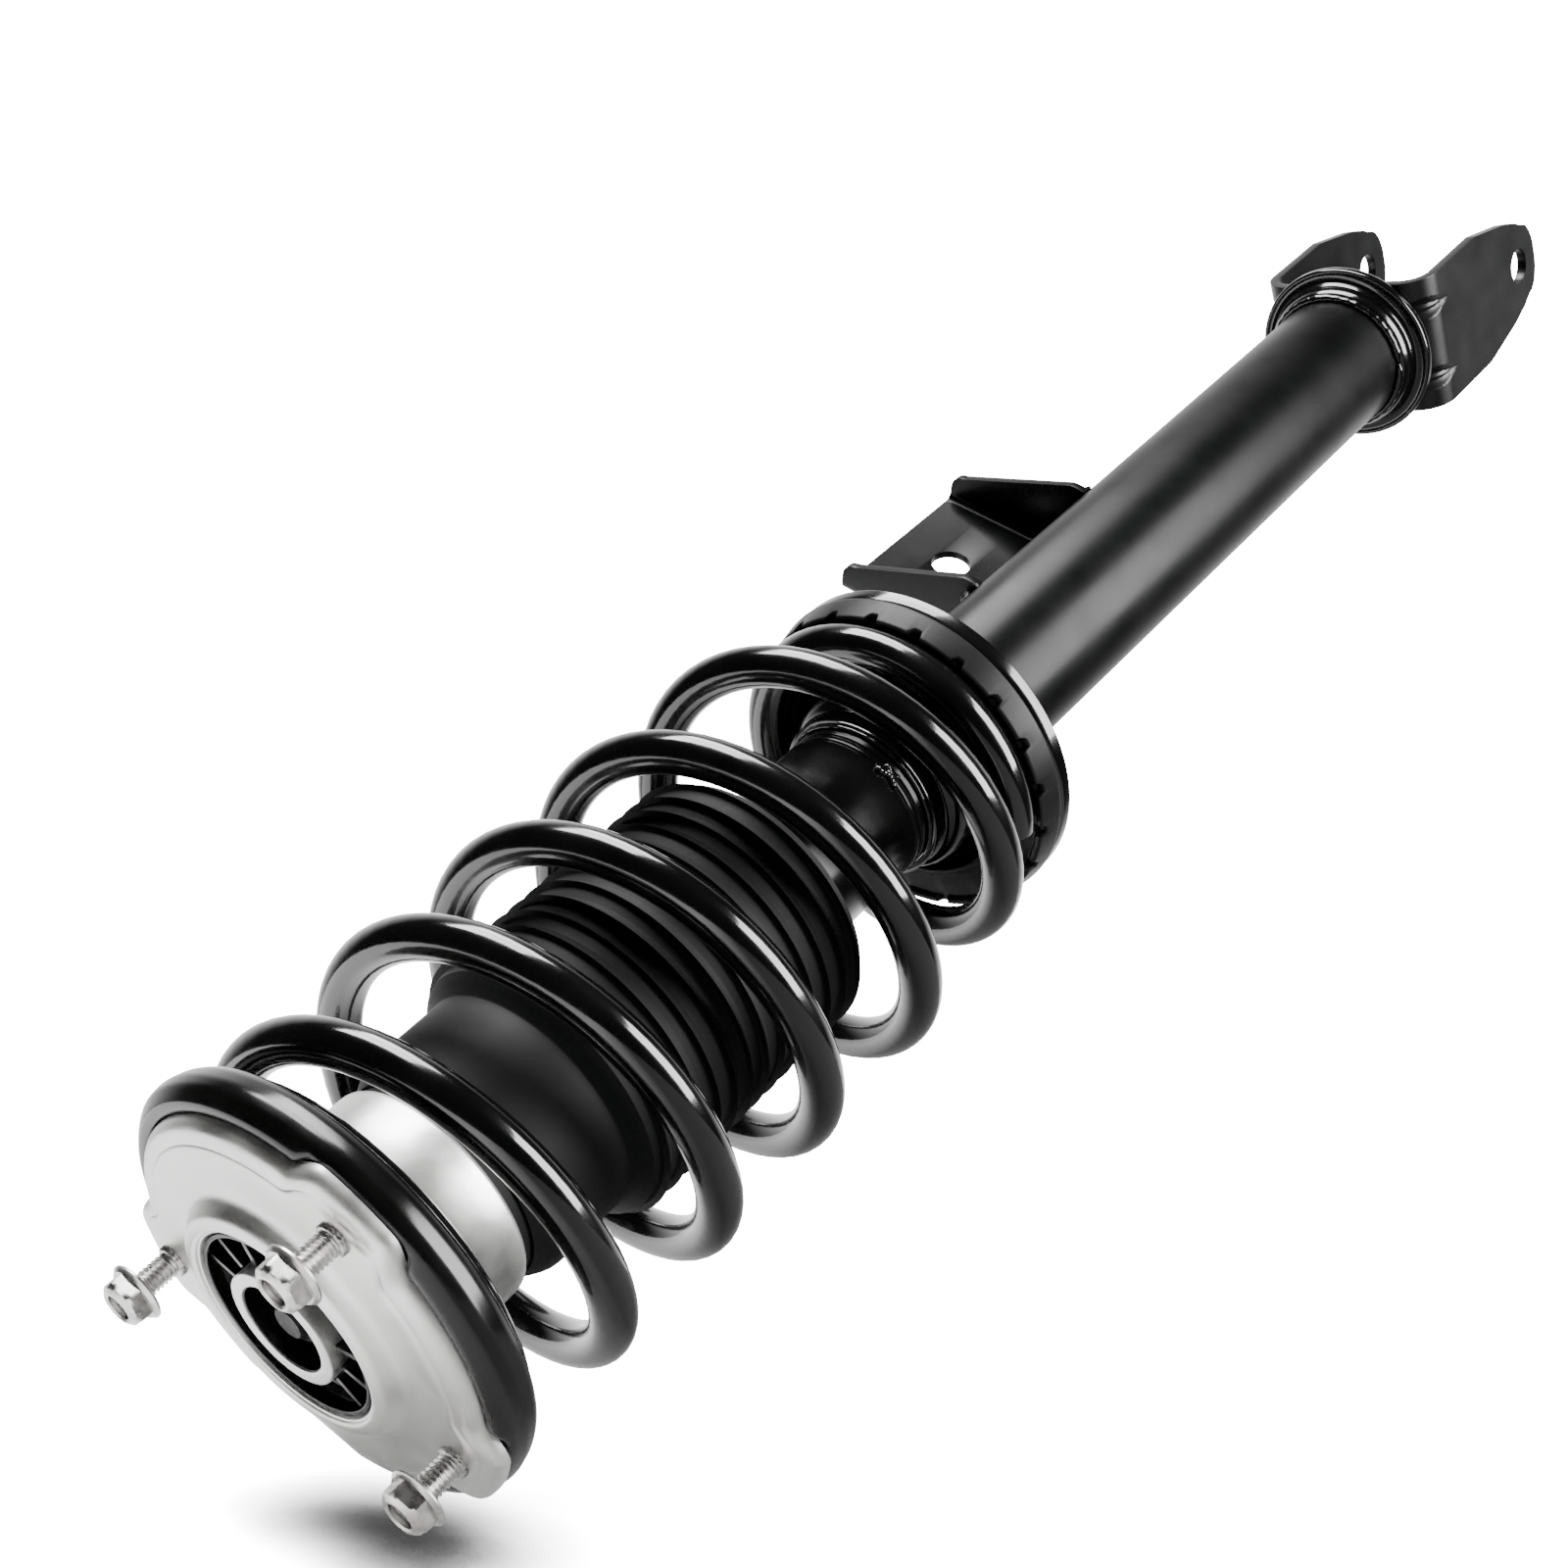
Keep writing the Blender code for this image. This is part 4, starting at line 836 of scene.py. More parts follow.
def make_rod():
    """The chromed rod, and its near-black threaded end inside the nut, which keeps it dark in the
    bush's cup.
    """
    low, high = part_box("piston_rod")
    shaft = high.x
    outline = [
        (0.0, ROD_SHOULDER),
        *points_from(shaft, ROD_SHOULDER, [(-0.6, 0.0), (0.0, -0.6)]),
        (shaft, ROD_STEP),
        (SPIGOT_R, ROD_STEP),
        *points_from(SPIGOT_R, low.z, [(0.0, 0.8), (-0.8, 0.0)]),
        (0.0, low.z),
    ]
    mesh = lathe(outline, 96)
    add_piece("rod_shaft", mesh, CHROME, TOP, ["piston_rod"])
    bottom = ROD_SHOULDER + 0.02 * MM
    outline = [
        (0.0, high.z),
        *points_from(SPIGOT_R, high.z, [(-1.2, 0.0), (0.0, -1.2)]),
        (SPIGOT_R, bottom),
        (0.0, bottom),
    ]
    mesh = lathe(outline, SMALL_ROUND)
    add_piece("rod_spigot", mesh, NEAR_BLACK_STEEL, TOP)


def make_rod_nut():
    """The nut on the rod's end, deep in the bush's cup, near-black so that it stays dark there."""
    low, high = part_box("rod_nut")
    corner = high.x
    apothem = corner * math.cos(math.pi / 6.0)
    outline = [
        (ROD_NUT_BORE_R, low.z),
        (corner, low.z),
        *points_from(corner, high.z, [(0.0, -1.6), (-0.6, -1.0), (-1.4, -0.3), (-2.2, 0.0)]),
        *points_from(ROD_NUT_BORE_R, high.z, [(0.8, 0.0), (0.0, -0.8)]),
    ]

    def chamfered(limit):
        return lambda a: min(hexagon_radius(a, apothem, corner), limit)

    mesh = mesh_of_rows([ring(chamfered(limit), z, ROD_NUT_SIDES) for limit, z in outline])
    add_piece("rod_end_nut", mesh, NEAR_BLACK_STEEL, TOP, ["rod_nut"])


def isolator_section(angle):
    """Section of the upper isolator: its lip stands round the skirt and drops at the lobes."""
    edge = plate_edge(angle) + 0.4 * MM
    lobe = smooth_step((edge - PLATE_R - 0.8 * MM) / (3.0 * MM))
    lip_top = ISOLATOR_LIP_TOP + lobe * (SKIRT_BOTTOM - 0.4 * MM - ISOLATOR_LIP_TOP)
    lip_in = min(edge, 64.6 * MM)
    channel_out = COIL_TOP_R + WIRE_R + CHANNEL_GAP
    channel_in = COIL_TOP_R - WIRE_R - CHANNEL_GAP
    channel_top = COIL_TOP + WIRE_R + CHANNEL_GAP
    outline = [
        *points_from(0.0, 0.0, [(40.0, -3.2), (52.0, -3.2)]),
        *points_from(lip_in, 0.0, [(-3.4, -7.0), (0.0, -7.0)]),
        (lip_in, lip_top),
        (66.2 * MM + lobe * 1.6 * MM, lip_top),
        (68.0 * MM + lobe * 1.0 * MM, -6.6 * MM - lobe * 1.2 * MM),
        (69.7 * MM, -8.6 * MM - lobe * 0.6 * MM),
        (ISOLATOR_R, -12.0 * MM),
        *points_from(0.0, 0.0, [(69.2, -16.2), (67.6, -18.8)]),
        (channel_out + 0.8 * MM, ISOLATOR_BOTTOM),
        (channel_out, -15.0 * MM),
        (channel_out, channel_top),
        (channel_in, channel_top),
        (channel_in, -17.0 * MM),
        *points_from(0.0, 0.0, [(47.0, -18.5), (40.0, -10.0)]),
    ]
    return rounded(outline, 1.0 * MM, 3)


def make_upper_isolator():
    mesh = lathe(isolator_section, FINE_ROUND)
    replaced = ["upper_spring_isolator"]
    add_piece("isolator_ring", mesh, BLACK_RUBBER, TOP, replaced)


def make_cup():
    """The drawn cup that holds the bump stop, open at its foot."""
    half = CUP_WALL / 2.0
    wall_r = CUP_R - half
    line = [
        (22.0 * MM, CUP_TOP - half),
        (CUP_R - 5.0 * MM, CUP_TOP - half),
        (CUP_R - 1.8 * MM, CUP_TOP - 1.6 * MM),
        *points_from(wall_r, CUP_TOP, [(0.0, -5.0), (0.0, -20.0)]),
        *points_from(wall_r, CUP_BOTTOM, [(0.0, 4.0), (-0.5, 1.2)]),
        (wall_r - 1.6 * MM, CUP_BOTTOM + half),
    ]
    mesh = lathe(sheet_outline(smooth_line(line, 5), CUP_WALL))
    add_piece("stop_cup", mesh, STEEL, TOP, ["jounce_cup"])


# ---------------------------------------------------------------- spring and bellows


def coil_radius(turn):
    top = smooth_step((turn - 1.8) / 0.9)
    bottom = smooth_step((-turn - 1.7) / 1.1)
    return COIL_R + (COIL_TOP_R - COIL_R) * top + (COIL_BOTTOM_R - COIL_R) * bottom


def coil_height(turn):
    height = COIL_MIDDLE + COIL_PITCH * turn + COIL_PITCH_CHANGE * turn * turn
    height = smooth_min(height, COIL_TOP, COIL_BLEND)
    return -smooth_min(-height, -COIL_BOTTOM, COIL_BLEND)


def coil_point(turn):
    angle = COIL_START_ANGLE + FULL_TURN * turn
    r = coil_radius(turn)
    return Vector((r * math.cos(angle), r * math.sin(angle), coil_height(turn)))


def wire_sections():
    """The wire's cross-sections from its lower end up, as (turn, shift along the wire, scale)."""
    count = round((COIL_LAST_TURN - COIL_FIRST_TURN) * COIL_STEPS) + 1
    turns = [COIL_FIRST_TURN + i / COIL_STEPS for i in range(count)]
    ends = [(WIRE_END_STEP * (i + 1), scale) for i, scale in enumerate(WIRE_END_SCALES)]
    sections = [(turns[0], -shift, scale) for shift, scale in reversed(ends)]
    sections += [(turn, 0.0, 1.0) for turn in turns]
    return sections + [(turns[-1], shift, scale) for shift, scale in ends]


def make_spring():
    """The wire: a round cross-section at each step along the coil, narrowed at both ends."""
    rows = []
    small = 1e-3
    for turn, shift, scale in wire_sections():
        centre = coil_point(turn)
        along = (coil_point(turn + small) - coil_point(turn - small)).normalized()
        out = Vector((centre.x, centre.y, 0.0)).normalized()
        out = (out - along * out.dot(along)).normalized()
        place = centre + along * shift
        rows.append(circle_across(place, out, along.cross(out), WIRE_R * scale, WIRE_SIDES))
    mesh = mesh_of_rows(rows, capped=True)
    spring = add_piece("spring_wire", mesh, PAINT, None, ["coil_spring"])
    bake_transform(spring)


def bellows_wave(ridge):
    """Height of a fold from its valley, 0, to its narrow crest, 1."""
    return 0.25 * ridge + 0.75 * ridge**20


def bellows_folds():
    """The outer side of the folds, and the plainer inner side, both from the top down."""
    pitch = (BELLOWS_TOP - BELLOWS_BOTTOM) / BELLOWS_FOLDS
    outer = []
    inner = []
    for i in range(BELLOWS_FOLDS):
        top = BELLOWS_TOP - i * pitch
        for k in range(BELLOWS_FOLD_STEPS):
            t = k / BELLOWS_FOLD_STEPS
            rise = bellows_wave(1.0 - abs(2.0 * t - 1.0))
            outer.append((BELLOWS_VALLEY_R + (BOOT_R - BELLOWS_VALLEY_R) * rise, top - pitch * t))
        inner.append((BELLOWS_VALLEY_R - BELLOWS_WALL, top))
        inner.append((BOOT_R - BELLOWS_WALL - 0.8 * MM, top - pitch / 2.0))
    return outer, inner


def bellows_outline():
    """Down the outer side from neck to collar, then back up the inner side."""
    neck_r = BELLOWS_NECK_R
    sleeve_r = BELLOWS_SLEEVE_R
    collar_r = BELLOWS_COLLAR_R
    neck = [
        (neck_r, BOOT_TOP),
        *points_from(neck_r, CUP_BOTTOM, [(0.0, -1.0), (1.0, -3.6), (4.0, -9.0)]),
        *points_from(sleeve_r, CUP_BOTTOM, [(0.0, -13.0), (0.0, -22.0)]),
        *points_from(sleeve_r, BELLOWS_TOP, [(0.0, 7.0), (0.5, 4.6), (3.6, 1.6)]),
    ]
    outer, inner = bellows_folds()
    collar = [
        *points_from(BELLOWS_VALLEY_R, BELLOWS_BOTTOM, [(0.0, 0.0), (-2.0, -1.2)]),
        *points_from(collar_r, BELLOWS_BOTTOM, [(6.0, -2.0), (3.2, -2.8)]),
        *points_from(collar_r, BOOT_BOTTOM, [(3.0, 0.6), (2.4, 0.0), (0.0, 0.0)]),
        (collar_r, BELLOWS_BOTTOM + 0.4 * MM),
        (BELLOWS_VALLEY_R - BELLOWS_WALL, BELLOWS_BOTTOM + BELLOWS_WALL),
    ]
    neck_inside = [
        (sleeve_r - BELLOWS_WALL, BELLOWS_TOP + 6.0 * MM),
        (sleeve_r - BELLOWS_WALL, CUP_BOTTOM - 13.5 * MM),
        (neck_r - BELLOWS_WALL, CUP_BOTTOM - 4.0 * MM),
        (neck_r - BELLOWS_WALL, BOOT_TOP),
    ]
    return smooth_line(neck, 3) + outer + collar + inner[::-1] + neck_inside


def make_boot():
    """The bellows, which hang from the mount, turned from one outline about the axis."""
    mesh = lathe(bellows_outline())
    boot = add_piece("bellows", mesh, BOOT_RUBBER, None, ["dust_boot"])
    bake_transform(boot)


# ---------------------------------------------------------------- damper


def make_tube():
    """The damper's outer tube, with two rolled grooves above the seat's neck."""
    outline = [
        (TUBE_R - TUBE_WALL, TUBE_TOP),
        (TUBE_R - 0.4 * MM, TUBE_TOP),
        (TUBE_R, TUBE_TOP - 0.4 * MM),
    ]
    for groove in GROOVES:
        for k in range(9):
            t = -1.0 + k / 4.0
            depth = GROOVE_DEPTH * (0.5 + 0.5 * math.cos(math.pi * t))
            outline.append((TUBE_R - depth, groove - t * GROOVE_HALF_WIDTH))
    outline += [(TUBE_R, TUBE_BOTTOM), (TUBE_R - TUBE_WALL, TUBE_BOTTOM)]
    mesh = lathe(outline)
    add_piece("damper_tube", mesh, TUBE_PAINT, DAMPER, ["reserve_tube"])


def weld_bead(name, path, radius, seed):
    """A run of weld along a path: overlapping ripples of uneven size."""
    line = [Vector(p) for p in path]
    radii = []
    for i, point in enumerate(line):
        ripple = 0.10 * math.cos(FULL_TURN * i / 4.0)
        lump = 0.22 * noise.noise(point * 160.0 + Vector((seed, 0.0, 0.0)))
        ends = smooth_step(min(i, len(line) - 1 - i) / 3.0)
        radii.append(radius * (0.35 + 0.65 * ends) * (1.0 + ripple + lump))
    add_piece(name, tube_along(line, radii, 14), PAINT, DAMPER)


def arc(radius, z, start, end, step=WELD_STEP):
    """Points on a circle round the strut's axis, start to end in degrees, about a step apart."""
    count = max(2, round(math.radians(abs(end - start)) * radius / step))
    points = []
    for i in range(count + 1):
        angle = math.radians(start + (end - start) * i / count)
        points.append((radius * math.cos(angle), radius * math.sin(angle), z))
    return points


def make_lower_seat():
    """The pressed seat: a neck on the tube, a cone, a trough for the pad, and the rim."""
    neck_r = TUBE_R + NECK_GAP + SEAT_SHEET / 2.0
    neck = [(0.0, 0.0), (0.0, -5.6), (0.8, -7.6), (3.0, -9.6), (4.2, -12.0)]
    line = [
        *points_from(neck_r, SEAT_TOP, neck),
        (34.4 * MM, SEAT_TOP - 17.0 * MM),
        *points_from(0.0, SEAT_TROUGH, [(36.2, 9.0), (39.0, 3.0), (43.0, 0.2), (50.0, 0.0)]),
        *points_from(SEAT_R, SEAT_TROUGH, [(-5.0, -0.4), (-2.0, -2.4)]),
        (SEAT_R - SEAT_SHEET / 2.0, SEAT_BOTTOM + 0.2 * MM),
    ]
    mesh = lathe(rounded(sheet_outline(smooth_line(line, 4), SEAT_SHEET), 0.5 * MM, 2))
    add_piece("seat_pan", mesh, PAINT, DAMPER, ["lower_spring_seat"])
    path = arc(TUBE_R + 0.9 * MM, SEAT_TOP + 0.5 * MM, -40.0, 150.0, 1.2 * MM)
    weld_bead("seat_weld", path, 0.8 * MM, 3.0)


def make_tube_mark():
    """Two wavy beads of weld on the tube's grooves, where they face the front."""
    at = TUBE_R + 0.2 * MM
    steps = 36
    for number, (first, sweep, lean) in enumerate(((47.0, 22.0, 1.0), (43.0, 13.0, -1.0))):
        path = []
        for i in range(steps + 1):
            t = i / steps
            angle = math.radians(first - sweep * t)
            height = -249.0 * MM + lean * MM * (1.0 + 0.6 * math.sin(9.0 * t))
            path.append((at * math.cos(angle), at * math.sin(angle), height))
        weld_bead(f"tube_mark_{number}", path, 1.0 * MM, 21.0 + number)


def pad_section(angle):
    """Section of the lower isolator: a pad under the coil and a raised rim notched all round."""
    phase = (angle * NOTCH_COUNT / FULL_TURN + 0.3) % 1.0
    inside = min(phase, NOTCH_SHARE - phase) if phase < NOTCH_SHARE else 0.0
    notch = smooth_step(inside / 0.05)
    pad_top = COIL_BOTTOM - WIRE_R - 0.3 * MM
    drop = notch * NOTCH_DEPTH
    outline = [
        (41.2 * MM, PAD_TOP),
        *points_from(0.0, pad_top, [(43.0, 3.0), (45.5, 0.0), (54.2, 0.0)]),
        (55.2 * MM, pad_top + 1.2 * MM - drop),
        (56.8 * MM, pad_top + 1.6 * MM - drop),
        (57.3 * MM + notch * 0.5 * MM, pad_top + 1.0 * MM - drop),
        *points_from(PAD_R, PAD_BOTTOM, [(0.0, 1.6), (0.0, 0.6)]),
        *points_from(0.0, 0.0, [(56.6, -285.4), (53.6, -284.0), (43.2, -284.0)]),
        (41.2 * MM, pad_top + 1.0 * MM),
    ]
    return rounded(outline, 0.35 * MM, 2)


def make_lower_pad():
    mesh = lathe(pad_section, 20 * NOTCH_COUNT)
    replaced = ["lower_spring_isolator"]
    add_piece("castellated_pad", mesh, PAD_RUBBER, DAMPER, replaced)


def bracket_place(x, y, z):
    """A point of the link bracket: x outward from the strut's axis, y square to it, z up."""
    return Matrix.Rotation(BRACKET_ANGLE, 3, "Z") @ Vector((x, y, z))


def flange_edge(x):
    """How far the flanges reach at x: they widen from the outer end towards the tube."""
    if x > FLANGE_OUTER_END:
        share = (x - FLANGE_OUTER_END) / (BRACKET_REACH - FLANGE_OUTER_END)
        return FLANGE_NARROWEST + 5.6 * MM * (1.0 - math.sqrt(max(1.0 - share**2, 0.0)))
    share = max((x - FLANGE_INNER_END) / (FLANGE_OUTER_END - FLANGE_INNER_END), 0.0)
    widest = FLANGE_WIDEST
    if x < FLANGE_INNER_END:
        widest += 3.5 * MM * ((FLANGE_INNER_END - x) / (17.5 * MM)) ** 2
    return widest + (FLANGE_NARROWEST - widest) * share


def bracket_row(x, low, high):
    """The channel's closed section at x, as points: flange, bend, web, bend, flange."""
    half = BRACKET_SHEET / 2.0
    y_web = BRACKET_WEB + half
    bend = BRACKET_BEND_R
    tip = min(flange_edge(x), y_web - bend)
    line = []
    for sign, z_flange in ((1.0, high - half), (-1.0, low + half)):
        part = [(tip, z_flange)]
        for k in range(7):
            turn = math.pi / 2.0 * k / 6
            y = y_web - bend + bend * math.sin(turn)
            z = z_flange - sign * bend * (1.0 - math.cos(turn))
            part.append((y, z))
        line += part if sign > 0 else part[::-1]
    return [bracket_place(x, y, z) for y, z in sheet_outline(line, BRACKET_SHEET)]


def make_link_bracket():
    """The channel welded to the tube, with a bolt hole in its web."""
    low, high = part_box("link_bracket")
    stations = [12.0 + 2.0 * i for i in range(33)] + [77.0, 78.0, 79.0, 79.8, 80.4, 80.8, 81.0]
    rows = [bracket_row(x * MM, low.z, high.z) for x in stations]
    beyond = 9.0 * MM
    tube = cylinder_cutter(
        TUBE_R + 0.15 * MM, (0.0, 0.0, low.z - beyond), (0.0, 0.0, high.z + beyond), ROUND
    )
    ends = [bracket_place(BRACKET_HOLE_X, y * MM, BRACKET_HOLE_Z) for y in (5.0, 30.0)]
    mesh = cut(mesh_of_rows(rows, capped=True), [tube, cylinder_cutter(HOLE_R, *ends)], 0.45 * MM)
    replaced = ["link_bracket"]
    add_piece("bracket_channel", mesh, BRACKET_PAINT, DAMPER, replaced)
    make_bracket_welds(low.z, high.z)


def make_bracket_welds(low, high):
    """Beads where the bracket's web and flanges meet the tube."""
    at = TUBE_R + 0.7 * MM
    middle = math.degrees(BRACKET_ANGLE)
    for number, (z, side) in enumerate(((high - 1.5 * MM, 1.0), (low + 1.5 * MM, -1.0))):
        for inner, (start, end) in enumerate(((-34.0, -8.0), (4.0, 40.0))):
            height = z + side * (1.9 * MM if not inner else 1.6 * MM)
            path = arc(at, height, middle + start, middle + end)
            weld_bead(f"flange_weld_{number}_{inner}", path, 1.9 * MM, 5.0 + number + inner)
    lean = math.asin((BRACKET_WEB + BRACKET_SHEET) / TUBE_R)
    angle = BRACKET_ANGLE + lean + math.radians(2.5)
    x, y = at * math.cos(angle), at * math.sin(angle)
    height = high - low - 8.0 * MM
    steps = 56
    path = [(x, y, low + 4.0 * MM + height * i / steps) for i in range(steps + 1)]
    weld_bead("web_weld", path, 1.8 * MM, 9.0)


def make_collar():
    """The stepped ring at the tube's foot, and the weld round its top."""
    inner = TUBE_R + NECK_GAP
    lip_r = COLLAR_R + 0.8 * MM
    neck = [(0.0, 0.0), (1.4, 0.3), (2.8, -0.6), (3.5, -2.6), (3.6, -5.4)]
    line = [
        *points_from(inner, COLLAR_TOP, neck),
        *points_from(0.0, COLLAR_TOP, [(32.8, -7.4), (35.4, -8.0)]),
        *points_from(lip_r, COLLAR_TOP, [(-1.2, -7.2), (0.0, -7.8)]),
        *points_from(lip_r, COLLAR_BOTTOM, [(0.0, 1.6), (-1.0, 0.0)]),
        (25.6 * MM, COLLAR_BOTTOM),
        (25.6 * MM, TUBE_BOTTOM - 2.0 * MM),
        (inner, TUBE_BOTTOM - 0.3 * MM),
    ]
    mesh = lathe(rounded(line, 0.8 * MM))
    add_piece("foot_ring", mesh, PAINT, DAMPER, ["fork_collar"])
    path = arc(TUBE_R + 1.0 * MM, COLLAR_TOP + 0.4 * MM, 0.0, 358.0)
    weld_bead("collar_weld", path, 1.7 * MM, 12.0)


def fork_half_width(z, bottom):
    """Half the ear's width at height z: a round tip, then tapers that widen up to the bend."""
    up = (z - bottom) / MM
    if up < EAR_TIP_MM:
        return 15.6 * MM * math.sqrt(max(1.0 - ((EAR_TIP_MM - up) / EAR_TIP_MM) ** 2 * 0.94, 0.0))
    return float(np.interp(up, (EAR_TIP_MM, 15.0, 26.0, 53.5), (15.6, 18.9, 22.6, 28.5))) * MM


def fork_line(top, bottom, x_ear):
    """Middle line of the fork's sheet from an ear's tip to the middle, as (x, z, outward normal)."""
    middle_z = top - FORK_SHEET / 2.0
    bend_z = middle_z - FORK_BEND_R
    start = x_ear - FORK_BEND_R
    ear_steps, bend_steps, flat_steps = 56, 48, 16
    line = []
    for i in range(ear_steps):
        z = bottom + (bend_z - bottom) * (i / ear_steps) ** 1.35
        line.append((x_ear, z, (1.0, 0.0)))
    for i in range(bend_steps + 1):
        turn = math.pi / 2.0 * i / bend_steps
        x = start + FORK_BEND_R * math.cos(turn)
        line.append((x, bend_z + FORK_BEND_R * math.sin(turn), (math.cos(turn), math.sin(turn))))
    for i in range(1, flat_steps + 1):
        line.append((start * (1.0 - i / flat_steps), middle_z, (0.0, 1.0)))
    return line


def dart_depth(along, across):
    """Depth of the stiffening dent pressed into a bend: a leaf with a crease down its middle."""
    share = abs(along) / DART_HALF_LENGTH
    if share >= 1.0:
        return 0.0
    taper = 1.0 - share**2
    off = abs(across) / (DART_HALF_WIDTH * taper)
    if off >= 1.0:
        return 0.0
    bowl = DART_DEPTH * taper**0.7 * (1.0 - off**1.5)
    return bowl - DART_CREASE * taper * max(1.0 - 3.0 * off, 0.0)


def fork_rows(low, high, x_ear):
    """The fork's closed sections from one ear's tip over the top to the other's."""
    half_sheet = FORK_SHEET / 2.0
    side = fork_line(high, low, x_ear)
    mirrored = [(-x, z, (-n[0], n[1])) for x, z, n in reversed(side[:-1])]
    diagonal = math.sqrt(0.5)
    inset = FORK_BEND_R * (1.0 - diagonal)
    bend_middle = Vector((x_ear - inset, high - half_sheet - inset))
    slope = Vector((diagonal, -diagonal))
    rows = []
    for x, z, normal in side + mirrored:
        ear = abs(x) > x_ear - 1e-6
        half_width = fork_half_width(z, low) if ear else FORK_HALF_WIDTH
        along = (Vector((abs(x), z)) - bend_middle).dot(slope)
        outer = []
        inner = []
        for k in range(FORK_WIDTH_STEPS + 1):
            y = half_width * (2.0 * k / FORK_WIDTH_STEPS - 1.0)
            dent = dart_depth(along, abs(y) - DART_Y)
            for row, offset in ((outer, half_sheet - dent), (inner, -half_sheet - dent)):
                row.append((x + normal[0] * offset, y, z + normal[1] * offset))
        rows.append(outer + inner[::-1])
    return rows


def make_fork():
    """The bent fork: two ears with bolt holes, dented bends, and a hole for the tube's foot."""
    low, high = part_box("fork_bracket")
    mesh = mesh_of_rows(fork_rows(low.z, high.z, high.x - FORK_SHEET / 2.0), capped=True)
    bolt = cylinder_cutter(HOLE_R, (-0.05, 0.0, FORK_HOLE_Z), (0.05, 0.0, FORK_HOLE_Z))
    base = cylinder_cutter(FORK_BASE_HOLE_R, (0.0, 0.0, high.z - 0.02), (0.0, 0.0, high.z + 0.01))
    mesh = cut(mesh, [bolt, base], 0.5 * MM)
    add_piece("fork_foot", mesh, FORK_PAINT, DAMPER, ["fork_bracket"])


# ---------------------------------------------------------------- studio


def make_camera():
    data = bpy.data.cameras.new("camera")
    data.sensor_width = SENSOR_WIDTH
    data.lens = LENS
    data.clip_start = 0.05
    data.clip_end = 50.0
    camera = new_object("camera", data)
    turn = Matrix((VIEW_RIGHT, -VIEW_DOWN, -VIEW_AHEAD)).transposed()
    camera.matrix_world = Matrix.Translation(VIEW_PLACE) @ turn.to_4x4()
    bpy.context.scene.camera = camera


def make_lamps():
    """Strip lights in pairs with a gap between: overhead at the left, and at the right."""
    middle = (cad_box[0] + cad_box[1]) / 2.0
    for name, ((right, up, towards), width, height, power) in LAMPS.items():
        way = VIEW_RIGHT * right - VIEW_DOWN * up - VIEW_AHEAD * towards
        way.normalize()
        data = bpy.data.lights.new(name, "AREA")
        data.shape = "RECTANGLE"
        data.size = width
        data.size_y = height
        data.energy = power
        lamp = new_object(name, data)
        lamp.location = middle + way * LAMP_DISTANCE
        lamp.rotation_mode = "QUATERNION"
        lamp.rotation_quaternion = (-way).to_track_quat("-Z", "Y")


def part_along(tree, vector, direction):
    """The length of the vector's part along a direction."""
    inputs = {0: vector, 1: direction}
    return add_node(tree, "VectorMath", inputs, "Value", operation="DOT_PRODUCT")


def mix_shaders(tree, factor, first, second):
    return add_node(tree, "MixShader", {0: factor, 1: first, 2: second})


def camera_sees(tree, seen, other):
    """One shader for the camera's rays, and another for all the rest."""
    return mix_shaders(tree, add_node(tree, "LightPath", {}, "Is Camera Ray"), other, seen)


def make_world():
    """White all round for the camera; for the lighting, bright behind the object, dark in front."""
    world = bpy.data.worlds.new("studio")
    bpy.context.scene.world = world
    world.use_nodes = True
    tree = world.node_tree
    backdrop = tree.nodes["Background"]
    give(tree, backdrop, {"Color": (1.0, 1.0, 1.0, 1.0), "Strength": BACKDROP_LEVEL})
    facing = part_along(tree, add_node(tree, "TexCoord", {}, "Generated"), VIEW_AHEAD)
    level = spread(tree, facing, 0.04, 3.4, 0.40, 1.0)
    surround = add_node(tree, "Background", {"Strength": level})
    mixed = camera_sees(tree, backdrop.outputs[0], surround)
    give(tree, tree.nodes["World Output"], {"Surface": mixed})


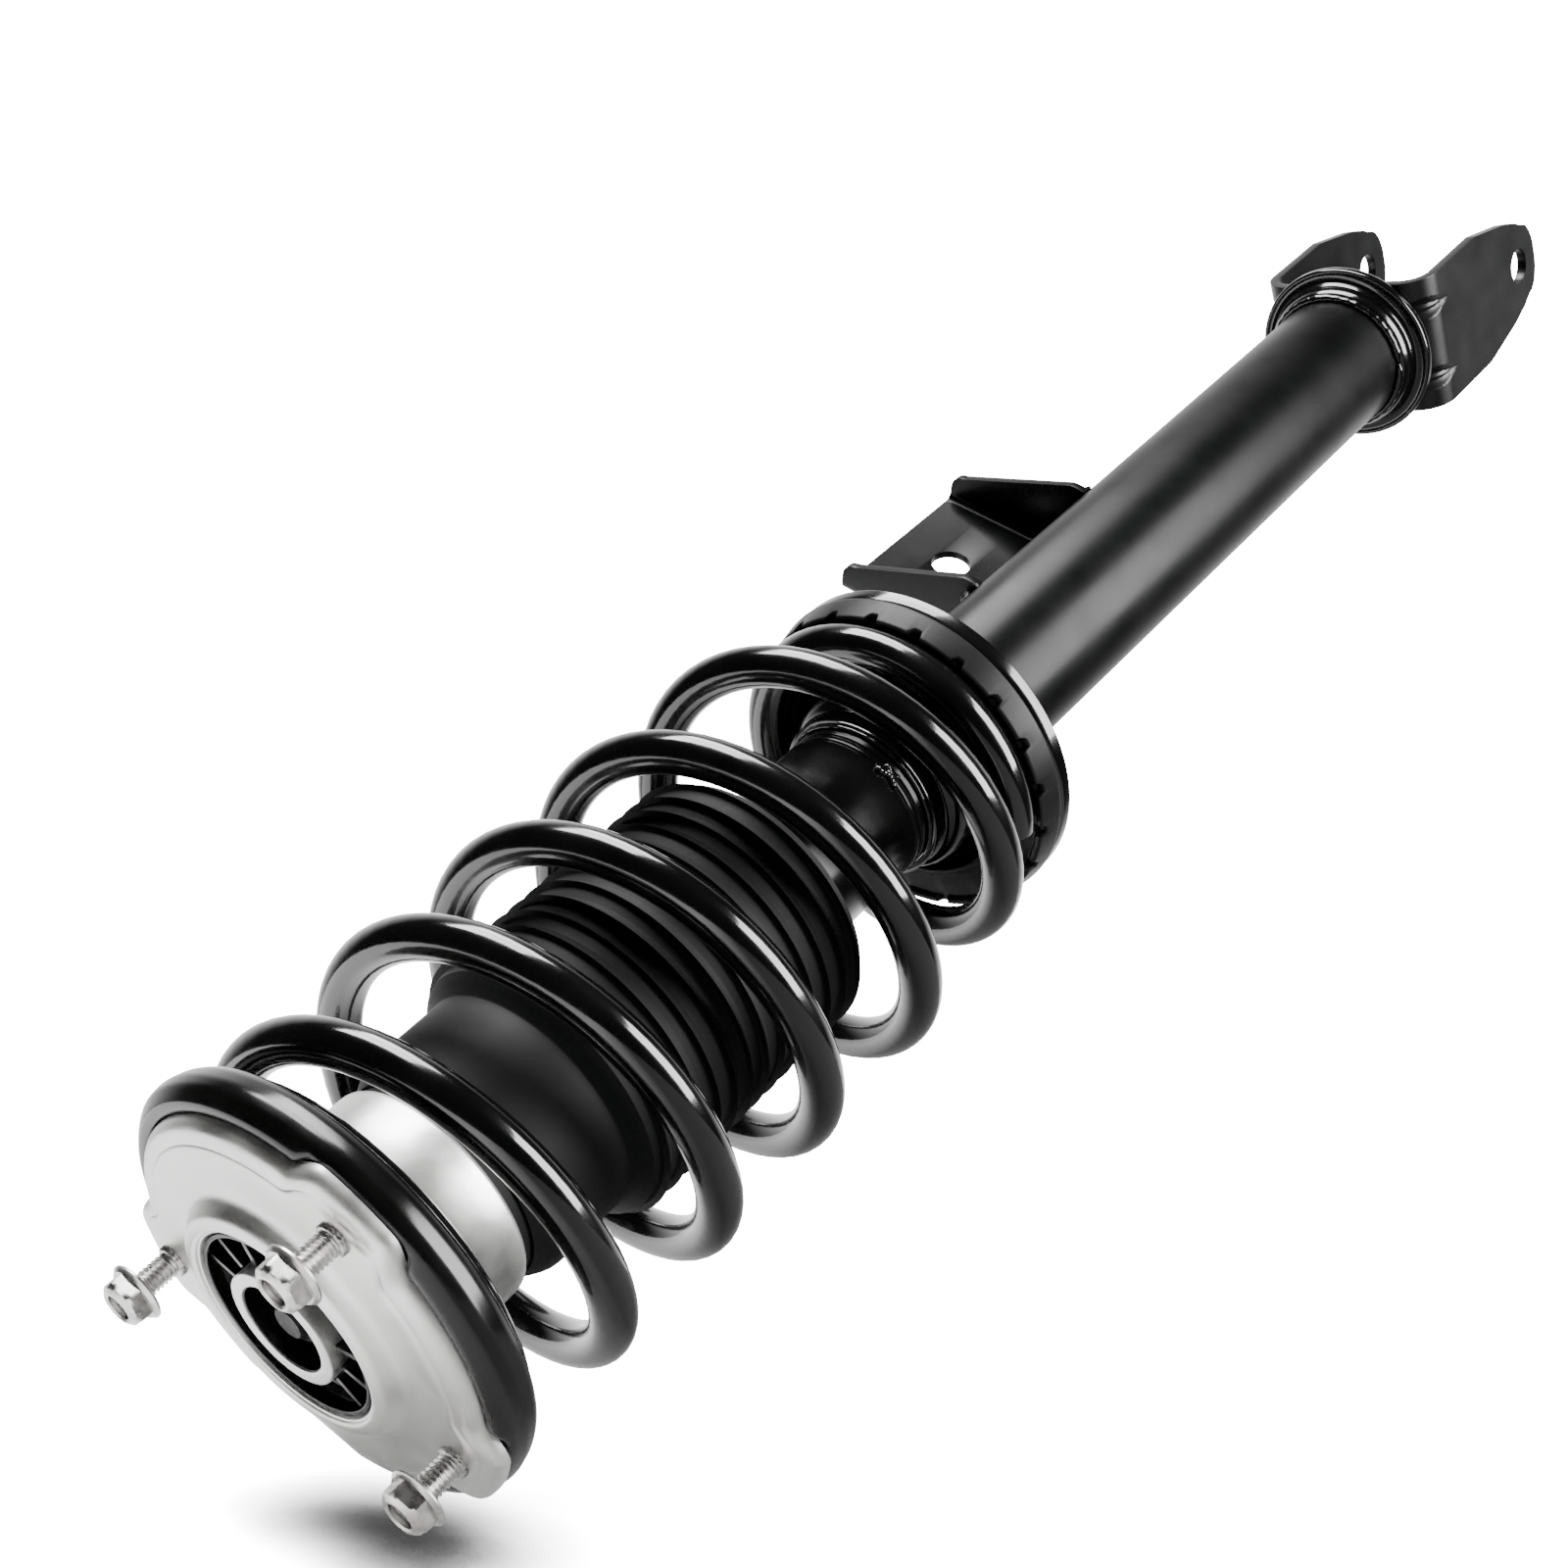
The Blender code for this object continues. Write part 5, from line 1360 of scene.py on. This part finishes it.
def floor_glow(tree):
    """What the camera sees of the floor: it glows white, with a painted shadow where something is
    close.
    """
    contact = add_node(tree, "AmbientOcclusion", {"Distance": SHADOW_REACH}, "AO", samples=32)
    open_share = spread(tree, contact, 0.0, 1.0, 0.30, 0.92)
    falloff = add_node(tree, "Math", {0: open_share, 1: 4.5}, operation="POWER")
    level = spread(tree, falloff, 0.05, BACKDROP_LEVEL, 0.0, 1.0)
    return add_node(tree, "Emission", {"Strength": level})


def floor_material():
    """Reflections see it pale at the left and dark at the right. From below it is clear."""
    mat = bpy.data.materials.new("pale_floor")
    mat.use_nodes = True
    tree = mat.node_tree
    tree.nodes.remove(tree.nodes["Principled BSDF"])
    place = add_node(tree, "NewGeometry", {}, "Position")
    level = spread(tree, part_along(tree, place, VIEW_RIGHT), 0.95, 0.14, -0.06, 0.12)
    upper = camera_sees(tree, floor_glow(tree), add_node(tree, "BsdfDiffuse", {"Color": level}))
    below = add_node(tree, "NewGeometry", {}, "Backfacing")
    mixed = mix_shaders(tree, below, upper, add_node(tree, "BsdfTransparent", {}))
    give(tree, tree.nodes["Material Output"], {"Surface": mixed})
    return mat


def make_floor():
    """A pale floor under the strut as it lies in the picture."""
    shape = bmesh.new()
    bmesh.ops.create_circle(shape, cap_ends=True, segments=96, radius=FLOOR_RADIUS)
    floor = new_object("floor", mesh_of_shape(shape))
    lowest = max(
        (frame["nodes"][node].matrix_world @ Vector(corner)).dot(VIEW_DOWN)
        for node in ("nut_3", "upper_mount_plate")
        for corner in frame["nodes"][node].bound_box
    )
    floor.rotation_mode = "QUATERNION"
    floor.rotation_quaternion = (-VIEW_DOWN).to_track_quat("Z", "Y")
    floor.location = VIEW_DOWN * (lowest + FLOOR_GAP)
    floor.data.materials.append(floor_material())


make_camera()
make_world()
make_lamps()
make_floor()
finish_cad_nodes()
make_plate()
for stud_number in (1, 2, 3):
    make_stud(stud_number)
    make_nut(stud_number)
make_bush_ring()
make_ribbed_bush()
make_bush_cup()
make_cup_dark_layer()
make_rod()
make_rod_nut()
make_upper_isolator()
make_cup()
make_spring()
make_boot()
make_tube()
make_lower_seat()
make_tube_mark()
make_lower_pad()
make_link_bracket()
make_collar()
make_fork()
